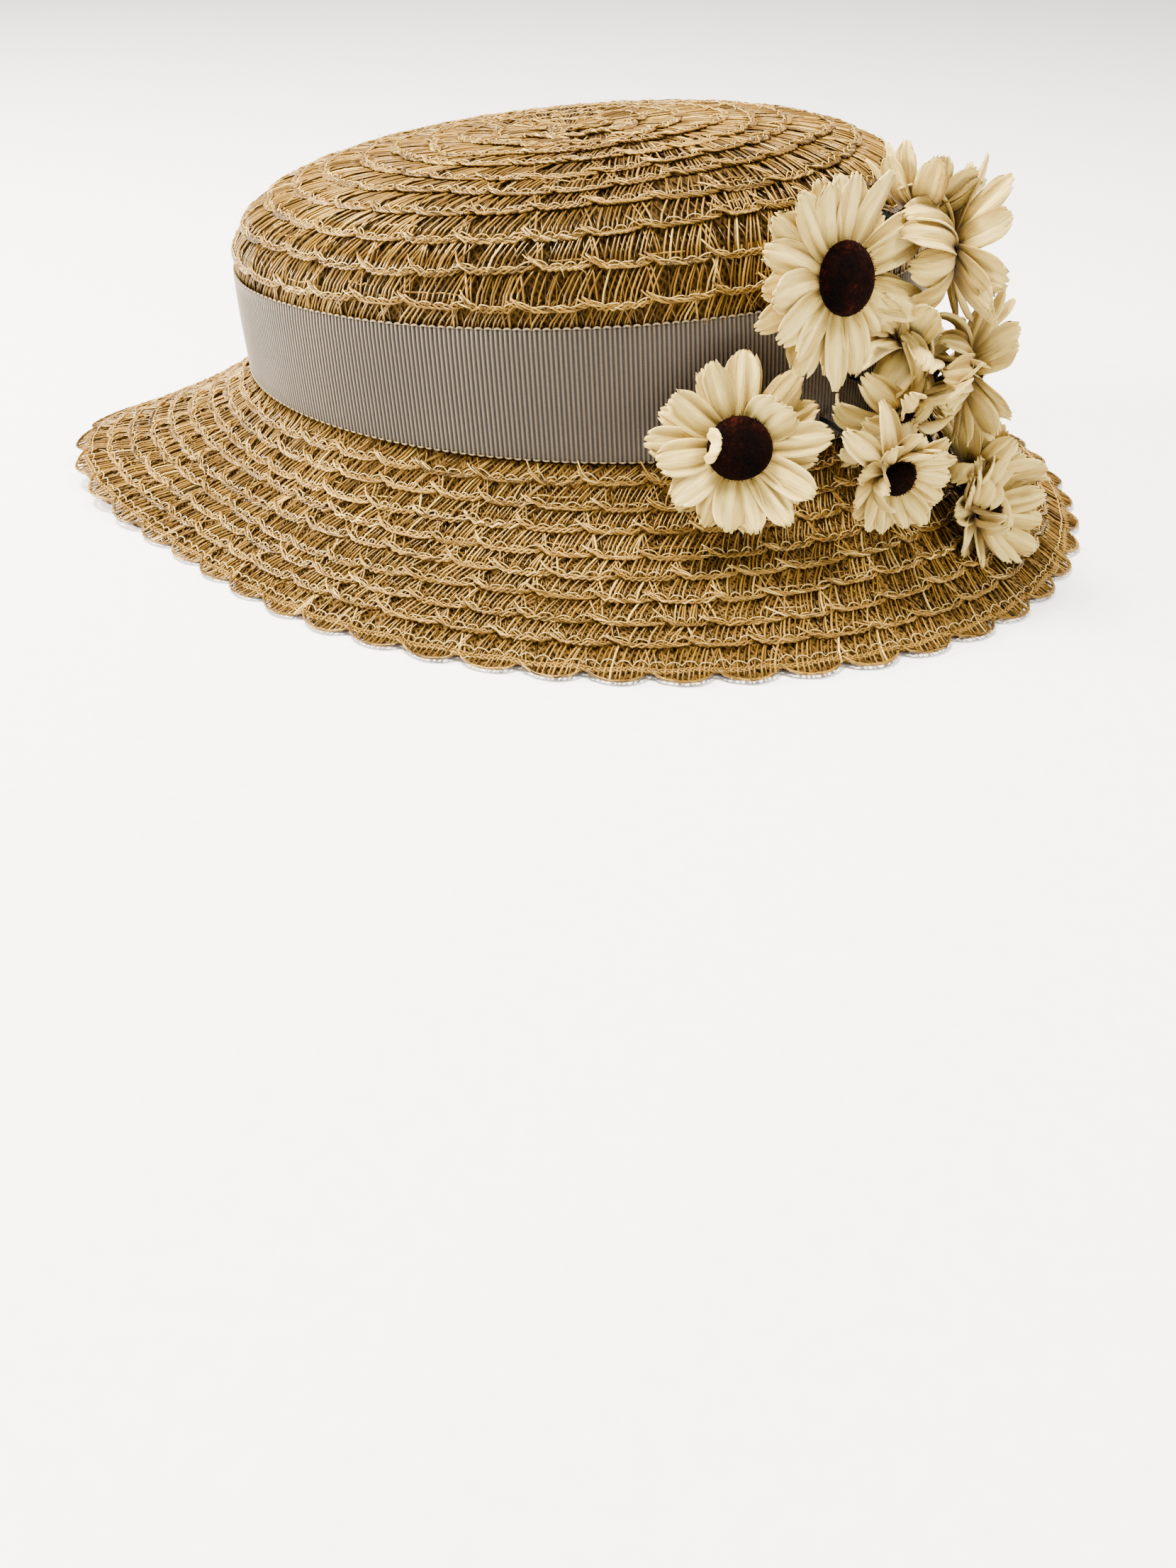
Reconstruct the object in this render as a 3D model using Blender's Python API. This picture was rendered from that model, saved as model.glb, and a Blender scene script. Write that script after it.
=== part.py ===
"""Straw boater hat with a grosgrain band and a spray of cloth daisies.

Blender 4.5, metres, +Z up. The hat's front is +X and its right side is -Y. It stands on its rim on
z = 0, with the middle of the rim's outline at the origin. Azimuths are in degrees, counted from the
front towards the hat's left side.
"""
import math

import bmesh
import bpy
from mathutils import Vector

# Straw and clearances
STRAW_THICKNESS = 0.0020
ROW_STEP = 0.0009
SEAT_GAP = 0.0003
SEGMENTS = 54

# Crown: outer size at its foot, rise in the middle of the tip, and how the tip climbs to the front
CROWN_LENGTH = 0.1874
CROWN_WIDTH = 0.1572
CROWN_RISE = 0.0612
TIP_CLIMB = 0.109
CROWN_LEAN = -0.0045
PLAN_EXPONENT = 2.7
RISE_EXPONENT = 6.0
CROWN_ROW_PITCH = 0.0081

# Brim: longest reach and deepest drop at the notches between its scallops, its braid rows, and the
# flat land that its weight presses on the rim
BRIM_REACH = 0.0528
BRIM_DROP = 0.033
BRIM_FLARE = 0.68
BRIM_ROWS = 9
SCALLOP_DEPTH = 0.0042
SCALLOP_POINTS = 4
LAND_DEPTH = 0.0011
LAND_SHARE = 0.97
RIM_EDGE = 0.0012

# Ribbon
BAND_HEIGHT = 0.032
BAND_THICKNESS = 0.0010

# Daisies
PETAL_LENGTH = 0.0180
PETAL_CLOTH = 0.0010
HUB_RADIUS = 0.0070
CENTRE_RADIUS = 0.0082
CENTRE_HEIGHT = 0.0062
CENTRE_SIDES = 10
NOTCH_SHARE = 0.62
STEM_RADIUS = 0.0011
STEM_RUN = 0.0070
STEM_POINTS = 4
STEM_LOWEST = 0.2
STEM_HIGHEST = 1.45

JOIN_HEIGHT = BRIM_DROP + STRAW_THICKNESS - LAND_DEPTH

# Brim sections: azimuth from the front, reach as a share of BRIM_REACH, drop as a share of BRIM_DROP
BRIM_SECTIONS = [
    dict(azimuth=0.0, reach=0.86, drop=1.00),
    dict(azimuth=40.0, reach=0.93, drop=1.00),
    dict(azimuth=80.0, reach=0.82, drop=1.00),
    dict(azimuth=115.0, reach=0.67, drop=1.00),
    dict(azimuth=145.0, reach=0.61, drop=1.00),
    dict(azimuth=180.0, reach=1.00, drop=0.83),
]

# Daisies: where each stands on the crown's foot (azimuth), its stand-off from the band as a share of
# PETAL_LENGTH, its height over the join as a share of BAND_HEIGHT, where it faces, how far its
# petals close (0 flat, 90 shut), how long they are as a share of PETAL_LENGTH, and how wide the flat
# of the daisy is as a share of HUB_RADIUS
DAISIES = [
    dict(azimuth=-56.0, off=0.80, height=1.43, face=-52, tilt=12, cup=10, petals=14, length=0.96, hub=1.00),
    dict(azimuth=-67.6, off=0.75, height=0.27, face=-84, tilt=24, cup=10, petals=14, length=0.88, hub=1.00),
    dict(azimuth=-49.2, off=1.50, height=0.08, face=-62, tilt=-14, cup=56, petals=12, length=0.80, hub=0.90),
    dict(azimuth=-29.6, off=1.60, height=-0.54, face=-46, tilt=26, cup=52, petals=12, length=0.80, hub=0.90),
    dict(azimuth=-25.0, off=1.20, height=-0.34, face=30, tilt=50, cup=60, petals=10, length=0.80, hub=0.70),
    dict(azimuth=-43.0, off=0.85, height=0.44, face=-18, tilt=-40, cup=58, petals=11, length=0.78, hub=0.75),
    dict(azimuth=-34.6, off=1.20, height=0.63, face=8, tilt=-2, cup=54, petals=10, length=0.70, hub=0.70),
    dict(azimuth=-40.8, off=0.62, height=0.79, face=22, tilt=52, cup=60, petals=11, length=0.92, hub=0.75),
    dict(azimuth=-36.9, off=0.85, height=1.50, face=4, tilt=4, cup=44, petals=11, length=0.90, hub=0.75),
    dict(azimuth=-38.9, off=0.42, height=1.75, face=50, tilt=66, cup=70, petals=9, length=0.80, hub=0.65),
]

COLOURS = dict(
    straw=("straw braid", (0.50, 0.31, 0.13), 0.55),
    ribbon=("rayon grosgrain", (0.55, 0.48, 0.40), 0.60),
    petal=("cotton cloth petals", (0.80, 0.72, 0.54), 0.85),
    velvet=("brown velvet", (0.035, 0.010, 0.008), 0.95),
    wire=("green covered wire", (0.010, 0.022, 0.014), 0.70),
)


def make_material(key):
    """Return the Principled material of one entry of COLOURS, made once."""
    name, colour, roughness = COLOURS[key]
    found = bpy.data.materials.get(name)
    if found:
        return found
    material = bpy.data.materials.new(name)
    material.use_nodes = True
    shader = material.node_tree.nodes["Principled BSDF"]
    shader.inputs["Base Color"].default_value = (*colour, 1.0)
    shader.inputs["Roughness"].default_value = roughness
    shader.inputs["Metallic"].default_value = 0.0
    return material


def add_part(name, mesh, key, collection):
    """Link a mesh to the hat's collection as a named, smooth shaded part."""
    part = bpy.data.objects.new(name, mesh)
    mesh.materials.append(make_material(key))
    mesh.shade_smooth()
    mesh.set_sharp_from_angle(angle=math.radians(35))
    collection.objects.link(part)
    return part


def loft(name, rings, start_point=None, end_point=None, closed=False):
    """Skin rings of points into a mesh, each ring with as many points as the last or a multiple.

    A start or end point closes that end with a fan; closed joins the last ring to the first.
    """
    bm = bmesh.new()
    loops = [[bm.verts.new(point) for point in ring] for ring in rings]
    pairs = list(zip(loops, loops[1:])) + ([(loops[-1], loops[0])] if closed else [])
    for near, far in pairs:
        bridge(bm, near, far)
    for point, loop in ((start_point, loops[0]), (end_point, loops[-1])):
        if point is not None:
            fan(bm, bm.verts.new(point), loop)
    bmesh.ops.recalc_face_normals(bm, faces=bm.faces)
    mesh = bpy.data.meshes.new(name)
    bm.to_mesh(mesh)
    bm.free()
    return mesh


def bridge(bm, near, far):
    """Join two vertex loops; where one has more points, each span of it fans to the other."""
    if len(near) > len(far):
        near, far = far, near
    split = len(far) // len(near)
    for i in range(len(near)):
        following = (i + 1) % len(near)
        span = [far[(i * split + k) % len(far)] for k in range(split + 1)]
        half = split // 2
        for k in range(split):
            corner = near[i] if k < half else near[following]
            bm.faces.new((corner, span[k], span[k + 1]))
        bm.faces.new((near[i], span[half], near[following]))


def fan(bm, hub, loop):
    """Close a vertex loop with triangles to one hub vertex."""
    for i in range(len(loop)):
        bm.faces.new((hub, loop[i], loop[(i + 1) % len(loop)]))


def azimuths(count):
    """Return evenly spaced azimuths in radians."""
    return [2 * math.pi * i / count for i in range(count)]


def section_value(azimuth, column):
    """Read a column of BRIM_SECTIONS at any azimuth in radians, smoothly, alike left and right."""
    turn = math.degrees(azimuth) % 360.0
    angle = min(turn, 360.0 - turn)
    rows = BRIM_SECTIONS
    i = max(k for k in range(len(rows) - 1) if rows[k]["azimuth"] <= angle)
    here, there = rows[i], rows[i + 1]
    before = rows[i - 1] if i else rows[1]
    after = rows[i + 2] if i + 2 < len(rows) else rows[i]
    span = there["azimuth"] - here["azimuth"]
    gap_before = here["azimuth"] - before["azimuth"] if i else before["azimuth"]
    gap_after = after["azimuth"] - there["azimuth"] if i + 2 < len(rows) else span
    slope_here = (there[column] - before[column]) / (span + gap_before) if i else 0.0
    slope_there = (after[column] - here[column]) / (span + gap_after) if i + 2 < len(rows) else 0.0
    t = (angle - here["azimuth"]) / span
    lift = (2 * t**3 - 3 * t**2 + 1) * here[column] + (3 * t**2 - 2 * t**3) * there[column]
    bend = (t**3 - 2 * t**2 + t) * slope_here + (t**3 - t**2) * slope_there
    return lift + span * bend


def foot_point(azimuth, offset=0.0):
    """Return the point of the crown's foot oval at an azimuth, moved out by offset, and its normal."""
    a, b = CROWN_LENGTH / 2, CROWN_WIDTH / 2
    normal = Vector((math.cos(azimuth) / a, math.sin(azimuth) / b, 0.0)).normalized()
    point = Vector((a * math.cos(azimuth), b * math.sin(azimuth), 0.0))
    return point + normal * offset, normal


def crown_surface(azimuth, share):
    """Point of the crown's outer surface: share 0 at its foot, 1 at the middle of its tip.

    The profile is a superellipse, followed by an angle that grows fast at first, because the
    wall takes only the first few degrees of it.
    """
    angle = share**3 * math.pi / 2
    reach = max(math.cos(angle), 0.0) ** (2 / PLAN_EXPONENT)
    climb = math.sin(angle) ** (2 / RISE_EXPONENT)
    x = CROWN_LENGTH / 2 * reach * math.cos(azimuth) + CROWN_LEAN * climb
    y = CROWN_WIDTH / 2 * reach * math.sin(azimuth)
    return Vector((x, y, JOIN_HEIGHT + SEAT_GAP + (CROWN_RISE + TIP_CLIMB * x) * climb))


def brim_surface(azimuth, share):
    """Point of the brim's top surface: share 0 at the join with the crown, 1 at the rim."""
    point, normal = foot_point(azimuth)
    reach = BRIM_REACH * section_value(azimuth, "reach") * share
    drop = BRIM_DROP * section_value(azimuth, "drop") * share**BRIM_FLARE
    return point + normal * reach + Vector((0.0, 0.0, JOIN_HEIGHT - drop))


def surface_normal(surface, azimuth, share):
    """Outward normal of a surface, from small steps along it."""
    step = 0.0005
    low, high = max(share - step, 0.0), min(share + step, 1.0)
    along = surface(azimuth, high) - surface(azimuth, low)
    around = surface(azimuth + step, share) - surface(azimuth - step, share)
    normal = around.cross(along).normalized()
    outside = Vector((math.cos(azimuth), math.sin(azimuth), 1.0))
    return normal if normal.dot(outside) > 0 else -normal


def offset_ring(surface, share, offset):
    """Ring of points of a surface at one share, moved along its normals."""
    return [
        surface(azimuth, share) + surface_normal(surface, azimuth, share) * offset
        for azimuth in azimuths(SEGMENTS)
    ]


def slant_shares(surface, start, stop, rows):
    """Shares from start to stop that split a surface's side section into rows of equal slant."""
    steps = 400
    side = -math.pi / 2
    shares = [start + (stop - start) * i / steps for i in range(steps + 1)]
    points = [surface(side, share) for share in shares]
    lengths = [0.0]
    for here, there in zip(points, points[1:]):
        lengths.append(lengths[-1] + (there - here).length)
    marks = []
    for row in range(rows + 1):
        wanted = lengths[-1] * row / rows
        i = min(range(steps + 1), key=lambda k: abs(lengths[k] - wanted))
        marks.append(shares[i])
    return marks, lengths[-1]


def share_at_height(height):
    """Share of the crown's surface that lies at a height over the foot, on the side section."""
    low, high = 0.0, 1.0
    for _ in range(40):
        middle = (low + high) / 2
        if crown_surface(-math.pi / 2, middle).z - JOIN_HEIGHT - SEAT_GAP < height:
            low = middle
        else:
            high = middle
    return low


def build_crown(collection):
    """Crown: a smooth wall behind the ribbon, then braid rows lapped like shingles up to the tip."""
    band_top = share_at_height(BAND_HEIGHT)
    _, slant = slant_shares(crown_surface, band_top, 0.985, 1)
    rows = round(slant / CROWN_ROW_PITCH)
    marks, _ = slant_shares(crown_surface, band_top, 0.985, rows)
    outer = [offset_ring(crown_surface, share, 0.0) for share in (0.0, band_top * 0.55, band_top)]
    for here, there in zip(marks, marks[1:]):
        lap = here + (there - here) * 0.06
        outer.append(offset_ring(crown_surface, lap, ROW_STEP))
        outer.append(offset_ring(crown_surface, there, 0.0))
    inner_shares = (0.96, 0.85, 0.74, 0.64, 0.55, 0.45, band_top * 0.55, 0.0)
    inner = [offset_ring(crown_surface, share, -STRAW_THICKNESS) for share in inner_shares]
    rings = inner + outer
    tip = surface_middle(STRAW_THICKNESS)
    mesh = loft("crown", rings, start_point=tip, end_point=surface_middle(0.0))
    return add_part("crown", mesh, "straw", collection)


def surface_middle(depth):
    """Middle of the crown's tip, a depth below its outer surface."""
    top = crown_surface(0.0, 1.0)
    return Vector((CROWN_LEAN, 0.0, top.z - depth))


def rim_ring(depth_below, floor):
    """Rim points: one at each notch and the scallop's arc between, none lower than the floor."""
    ring = []
    for i, azimuth in enumerate(azimuths(SEGMENTS * SCALLOP_POINTS)):
        phase = (i % SCALLOP_POINTS) / SCALLOP_POINTS
        swell = SCALLOP_DEPTH * math.sin(math.pi * phase) ** 0.7
        edge = brim_surface(azimuth, 1.0)
        slope = (edge - brim_surface(azimuth, 0.96)).normalized()
        normal = surface_normal(brim_surface, azimuth, 0.99)
        point = edge + slope * swell - normal * depth_below
        point.z = max(point.z, floor)
        ring.append(point)
    return ring


def build_brim(collection):
    """Brim: lapped braid rows from the join down to a scalloped rim, with a plain underside."""
    marks, _ = slant_shares(brim_surface, 0.0, 1.0, BRIM_ROWS)
    top = [offset_ring(brim_surface, 0.0, 0.0)]
    for here, there in zip(marks, marks[1:-1]):
        edge = there - (there - here) * 0.10
        top.append(offset_ring(brim_surface, edge, ROW_STEP))
        top.append(offset_ring(brim_surface, there, 0.0))
    under_shares = (LAND_SHARE, 0.72, 0.45, 0.18, 0.0)
    under = [offset_ring(brim_surface, share, -STRAW_THICKNESS) for share in under_shares]
    for point in under[0]:
        point.z = max(point.z, 0.0)
    rings = top + [rim_ring(0.0, RIM_EDGE), rim_ring(STRAW_THICKNESS, 0.0)] + under
    return add_part("brim", loft("brim", rings, closed=True), "straw", collection)


def band_ring(height, depth):
    """Ring round the crown at a height over its foot, a depth outside the crown's surface."""
    return offset_ring(crown_surface, share_at_height(height), SEAT_GAP + depth)


def build_band(collection):
    """Ribbon wrapped round the crown's foot, with the crown's slight taper."""
    low = SEAT_GAP
    heights = (low, BAND_HEIGHT * 0.5, BAND_HEIGHT)
    outer = [band_ring(height, BAND_THICKNESS) for height in heights]
    inner = [band_ring(height, 0.0) for height in reversed(heights)]
    return add_part("hat_band", loft("hat_band", outer + inner, closed=True), "ribbon", collection)


def daisy_frame(row):
    """Return a daisy's middle, the way it faces and two directions across its face."""
    azimuth = math.radians(row["azimuth"])
    offset = BAND_THICKNESS + SEAT_GAP + row["off"] * PETAL_LENGTH
    middle, _ = foot_point(azimuth, offset)
    middle.z = JOIN_HEIGHT + row["height"] * BAND_HEIGHT
    face, tilt = math.radians(row["face"]), math.radians(row["tilt"])
    facing = Vector((math.cos(face) * math.cos(tilt), math.sin(face) * math.cos(tilt), math.sin(tilt)))
    across = Vector((0.0, 0.0, 1.0)).cross(facing).normalized()
    return middle, facing, across, facing.cross(across)


def petal_ring(row, share, side, count):
    """Ring of a daisy's petals at a share of their length, on the front (side 1) or back (0)."""
    middle, facing, across, up = daisy_frame(row)
    cup = math.radians(row["cup"]) * min(1.0, 0.35 + share)
    length = PETAL_LENGTH * row["length"]
    thick = Vector((-math.sin(cup), math.cos(cup))) * PETAL_CLOTH * side
    ring = []
    for i, angle in enumerate(azimuths(count)):
        notch = share == 1.0 and i % 3 == 0
        run = length * (NOTCH_SHARE if notch else share)
        out = HUB_RADIUS * row["hub"] + run * math.cos(cup) + thick.x
        rise = run * math.sin(cup) + thick.y
        ring.append(middle + facing * rise + (across * math.cos(angle) + up * math.sin(angle)) * out)
    return ring


def build_petals(name, row, collection):
    """Petals of one daisy: a cupped disc of cloth, cut into petals round its edge."""
    count = row["petals"]
    middle, facing, _, _ = daisy_frame(row)
    rings = [
        petal_ring(row, 0.0, 1, count),
        petal_ring(row, 0.5, 1, count * 3),
        petal_ring(row, 1.0, 1, count * 3),
        petal_ring(row, 1.0, 0, count * 3),
        petal_ring(row, 0.5, 0, count * 3),
        petal_ring(row, 0.0, 0, count),
    ]
    mesh = loft(name, rings, start_point=middle + facing * PETAL_CLOTH, end_point=middle)
    return add_part(name, mesh, "petal", collection)


def build_centre(name, row, collection):
    """Velvet centre of one daisy: a domed button on the petals."""
    middle, facing, across, up = daisy_frame(row)
    base = middle + facing * (PETAL_CLOTH + SEAT_GAP)
    hub = HUB_RADIUS * row["hub"]
    radius = min(CENTRE_RADIUS * row["hub"], hub + 0.5 * PETAL_LENGTH * math.cos(math.radians(row["cup"])))
    profile = [dict(out=0.80, rise=0.0), dict(out=0.98, rise=0.35), dict(out=0.62, rise=0.85)]
    rings = []
    for step in profile:
        out = hub * step["out"] if step["rise"] == 0.0 else radius * step["out"]
        centre = base + facing * CENTRE_HEIGHT * step["rise"]
        rings.append([
            centre + (across * math.cos(angle) + up * math.sin(angle)) * out
            for angle in azimuths(CENTRE_SIDES)
        ])
    mesh = loft(name, rings, start_point=base, end_point=base + facing * CENTRE_HEIGHT)
    return add_part(name, mesh, "velvet", collection)


def stem_route(row):
    """Points of a stem from the back of its daisy to its seat on the ribbon or the crown."""
    middle, facing, _, _ = daisy_frame(row)
    start = middle - facing * SEAT_GAP
    stub = 2 * STEM_RADIUS
    azimuth = math.radians(row["azimuth"])
    height = min(max(row["height"], STEM_LOWEST), STEM_HIGHEST)
    share = share_at_height(height * BAND_HEIGHT)
    wall = surface_normal(crown_surface, azimuth, share)
    cover = SEAT_GAP + BAND_THICKNESS if height < 1.0 else ROW_STEP
    seat = crown_surface(azimuth, share) + wall * (SEAT_GAP + cover)
    bend = [start - facing * stub, start - facing * STEM_RUN, seat + wall * STEM_RUN, seat + wall * stub]
    route = [start]
    for i in range(STEM_POINTS):
        t = i / (STEM_POINTS - 1)
        weights = ((1 - t) ** 3, 3 * t * (1 - t) ** 2, 3 * t**2 * (1 - t), t**3)
        route.append(sum((point * weight for point, weight in zip(bend, weights)), Vector()))
    return route + [seat]


def build_stem(name, row, collection):
    """Stem of one daisy: a covered wire, a poly curve with round bevel and capped ends."""
    curve = bpy.data.curves.new(name, "CURVE")
    curve.dimensions = "3D"
    curve.bevel_depth = STEM_RADIUS
    curve.bevel_resolution = 2
    curve.use_fill_caps = True
    route = stem_route(row)
    spline = curve.splines.new("POLY")
    spline.points.add(len(route) - 1)
    for point, place in zip(spline.points, route):
        point.co = (*place, 1.0)
    stem = bpy.data.objects.new(name, curve)
    curve.materials.append(make_material("wire"))
    collection.objects.link(stem)
    return stem


def centre_on_origin(collection):
    """Move every part so that the middle of the brim's outline stands over the origin."""
    outline = [point.x for point in rim_ring(0.0, RIM_EDGE)]
    across = (min(outline) + max(outline)) / 2
    for part in collection.objects:
        part.location.x -= across


def main():
    """Build the hat."""
    for old in list(bpy.data.objects):
        bpy.data.objects.remove(old, do_unlink=True)
    collection = bpy.data.collections.new("boater_hat")
    bpy.context.scene.collection.children.link(collection)
    build_crown(collection)
    build_brim(collection)
    build_band(collection)
    for number, row in enumerate(DAISIES, start=1):
        build_petals(f"daisy_{number:02d}_petals", row, collection)
        build_centre(f"daisy_{number:02d}_centre", row, collection)
        build_stem(f"daisy_{number:02d}_stem", row, collection)
    centre_on_origin(collection)


main()
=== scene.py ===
"""Straw boater hat with a grosgrain ribbon and a spray of cloth daisies, dressed for rendering.

Metres, +Z up. The hat's front is +X, its right side is -Y, and it stands on its rim on z = 0.
Azimuths are counted from the front towards the hat's left side.
"""
import logging
import math
import random
from dataclasses import dataclass, field
from enum import Enum

import bmesh
import bpy
import numpy as np
from mathutils import Euler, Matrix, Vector


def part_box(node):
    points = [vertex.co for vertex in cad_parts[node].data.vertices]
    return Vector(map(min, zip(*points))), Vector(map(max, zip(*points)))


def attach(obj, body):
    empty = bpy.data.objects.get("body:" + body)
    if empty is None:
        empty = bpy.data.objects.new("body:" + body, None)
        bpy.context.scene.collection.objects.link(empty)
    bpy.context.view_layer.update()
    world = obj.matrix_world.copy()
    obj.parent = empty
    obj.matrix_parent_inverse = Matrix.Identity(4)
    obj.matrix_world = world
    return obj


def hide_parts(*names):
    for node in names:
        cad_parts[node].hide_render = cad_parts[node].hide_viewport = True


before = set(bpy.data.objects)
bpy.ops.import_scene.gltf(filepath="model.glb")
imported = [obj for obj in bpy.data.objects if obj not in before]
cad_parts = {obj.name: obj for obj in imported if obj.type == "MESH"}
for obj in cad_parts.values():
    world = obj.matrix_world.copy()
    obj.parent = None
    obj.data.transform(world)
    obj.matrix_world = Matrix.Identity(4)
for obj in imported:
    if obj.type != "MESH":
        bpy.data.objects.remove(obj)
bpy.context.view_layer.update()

LOG = logging.getLogger("boater_hat")
MM = 0.001
BODY = "root"
RIBBON_HEIGHT = 32.0 * MM
PLAIT_PHASES = (0.0, 2.1, 4.2)


class Part(Enum):
    """The two straw surfaces that braid is laid on."""

    CROWN = "crown"
    BRIM = "brim"


def linear(code: str) -> tuple[float, float, float, float]:
    """Turn an sRGB hex colour into Blender's linear colour.

    Args:
        code: six hex digits.

    Returns:
        Linear red, green, blue and an alpha of 1.
    """
    parts = [int(code[i:i + 2], 16) / 255.0 for i in (0, 2, 4)]
    curve = [c / 12.92 if c <= 0.04045 else ((c + 0.055) / 1.055) ** 2.4 for c in parts]
    return (*curve, 1.0)


def add_node(tree: bpy.types.NodeTree, kind: str, settings: dict, inputs: dict) -> bpy.types.Node:
    """Add a shader node, set it and link it.

    Args:
        tree: the material's node tree.
        kind: the node's type name.
        settings: attributes of the node.
        inputs: values or output sockets for its inputs, by name or number.

    Returns:
        The new node.
    """
    node = tree.nodes.new(kind)
    for name, value in settings.items():
        setattr(node, name, value)
    for name, value in inputs.items():
        if isinstance(value, bpy.types.NodeSocket):
            tree.links.new(value, node.inputs[name])
        else:
            node.inputs[name].default_value = value
    return node


def set_ramp(node: bpy.types.Node, stops: tuple[tuple[float, str], ...]) -> None:
    """Give a colour ramp its stops.

    Args:
        node: the ramp node.
        stops: places from 0 to 1 and their hex colours.
    """
    elements = node.color_ramp.elements
    while len(elements) < len(stops):
        elements.new(0.5)
    for element, (place, code) in zip(elements, stops):
        element.position = place
        element.color = linear(code)


class Shading:
    """A Principled material in the making, with the nodes that the hat's finishes share."""

    def __init__(self, name: str, roughness: float, **sockets: float | tuple) -> None:
        """Make the material.

        Args:
            name: the material's name.
            roughness: the shader's roughness.
            sockets: its other uniform values, by socket name with underscores for spaces.
        """
        self.material = bpy.data.materials.new(name)
        self.material.use_nodes = True
        self.tree = self.material.node_tree
        self.shader = self.tree.nodes["Principled BSDF"]
        for socket, value in {"Roughness": roughness, "Metallic": 0.0, **sockets}.items():
            self.shader.inputs[socket.replace("_", " ")].default_value = value

    def place(self) -> bpy.types.NodeSocket:
        """Return the piece's own coordinates in metres."""
        return add_node(self.tree, "ShaderNodeTexCoord", {}, {}).outputs["Object"]

    def uv(self) -> bpy.types.NodeSocket:
        """Return the piece's UV map, which is in metres."""
        return add_node(self.tree, "ShaderNodeUVMap", {"uv_map": "UVMap"}, {}).outputs["UV"]

    def tone(self) -> bpy.types.NodeSocket:
        """Return the shade that the piece's points carry."""
        return add_node(self.tree, "ShaderNodeAttribute", {"attribute_name": "tone"}, {}).outputs["Fac"]

    def mapped(self, place: bpy.types.NodeSocket, **inputs: tuple) -> bpy.types.NodeSocket:
        """Return coordinates that are turned or scaled."""
        return add_node(self.tree, "ShaderNodeMapping", {}, {"Vector": place, **inputs}).outputs["Vector"]

    def noise(self, place: bpy.types.NodeSocket, size: float, detail: float) -> bpy.types.NodeSocket:
        """Return a noise of about one blotch to a size in metres."""
        return add_node(self.tree, "ShaderNodeTexNoise", {}, {
            "Vector": place, "Scale": 1.0 / size, "Detail": detail}).outputs["Fac"]

    def bands(self, place: bpy.types.NodeSocket, direction: str, width: float, distortion: float,
              detail_scale: float = 1.0) -> bpy.types.NodeSocket:
        """Return soft bands, one to a width in metres.

        Args:
            place: the coordinates.
            direction: the axis that the bands follow one another along.
            width: one band's width in metres.
            distortion: how far the bands waver.
            detail_scale: scale of the noise that bends them.
        """
        # at a scale of 1 a wave texture repeats every pi / 10
        settings = {"wave_type": "BANDS", "bands_direction": direction}
        return add_node(self.tree, "ShaderNodeTexWave", settings, {
            "Vector": place, "Scale": math.pi / (10 * width), "Distortion": distortion, "Detail": 1.0,
            "Detail Scale": detail_scale}).outputs["Fac"]

    def combine(self, operation: str, *values: float | bpy.types.NodeSocket) -> bpy.types.NodeSocket:
        """Return a math node's result for its operation and its inputs in order."""
        inputs = dict(enumerate(values))
        return add_node(self.tree, "ShaderNodeMath", {"operation": operation}, inputs).outputs["Value"]

    def add(self, shade: bpy.types.NodeSocket, pattern: bpy.types.NodeSocket,
            share: float) -> bpy.types.NodeSocket:
        """Return a shade with a share of a pattern added."""
        return self.combine("MULTIPLY_ADD", pattern, share, shade)

    def bump(self, height: bpy.types.NodeSocket, strength: float, depth: float,
             **inputs: bpy.types.NodeSocket) -> bpy.types.NodeSocket:
        """Return normals bent by a height, with its strength and its depth in metres."""
        return add_node(self.tree, "ShaderNodeBump", {}, {
            "Height": height, "Strength": strength, "Distance": depth, **inputs}).outputs["Normal"]

    def finish(self, shade: bpy.types.NodeSocket, stops: tuple[tuple[float, str], ...],
               normal: bpy.types.NodeSocket | None = None) -> bpy.types.Material:
        """Colour the shader by a shade, bend its normals and return the material.

        Args:
            shade: the shade, from 0 to 1.
            stops: places on that shade and their hex colours.
            normal: the bent normals, if any.
        """
        ramp = add_node(self.tree, "ShaderNodeValToRGB", {}, {"Fac": shade})
        set_ramp(ramp, stops)
        self.tree.links.new(ramp.outputs["Color"], self.shader.inputs["Base Color"])
        if normal:
            self.tree.links.new(normal, self.shader.inputs["Normal"])
        return self.material


@dataclass(frozen=True)
class StrawFinish:
    """Straw or braid finish: split wheat straw, dyed golden tan and lightly varnished."""

    name: str
    shades: tuple[tuple[float, str], ...]
    roughness: float
    grain: float = 0.8 * MM
    bleach: float = 35 * MM

    def make(self) -> bpy.types.Material:
        """Return the material: each straw has its own shade, with specks and bleached patches."""
        look = Shading(self.name, self.roughness, IOR=1.5, Specular_Tint=linear("F0D090"))
        place = look.place()
        specks = look.noise(place, self.grain, detail=2.0)
        shade = look.add(look.tone(), specks, share=0.22)
        shade = look.add(shade, look.noise(place, self.bleach, detail=1.0), share=0.30)
        # half of both shares comes off again, so that the tones keep their mean
        shade = look.combine("SUBTRACT", shade, 0.26)
        return look.finish(shade, self.shades, look.bump(specks, strength=0.25, depth=0.05 * MM))


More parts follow.
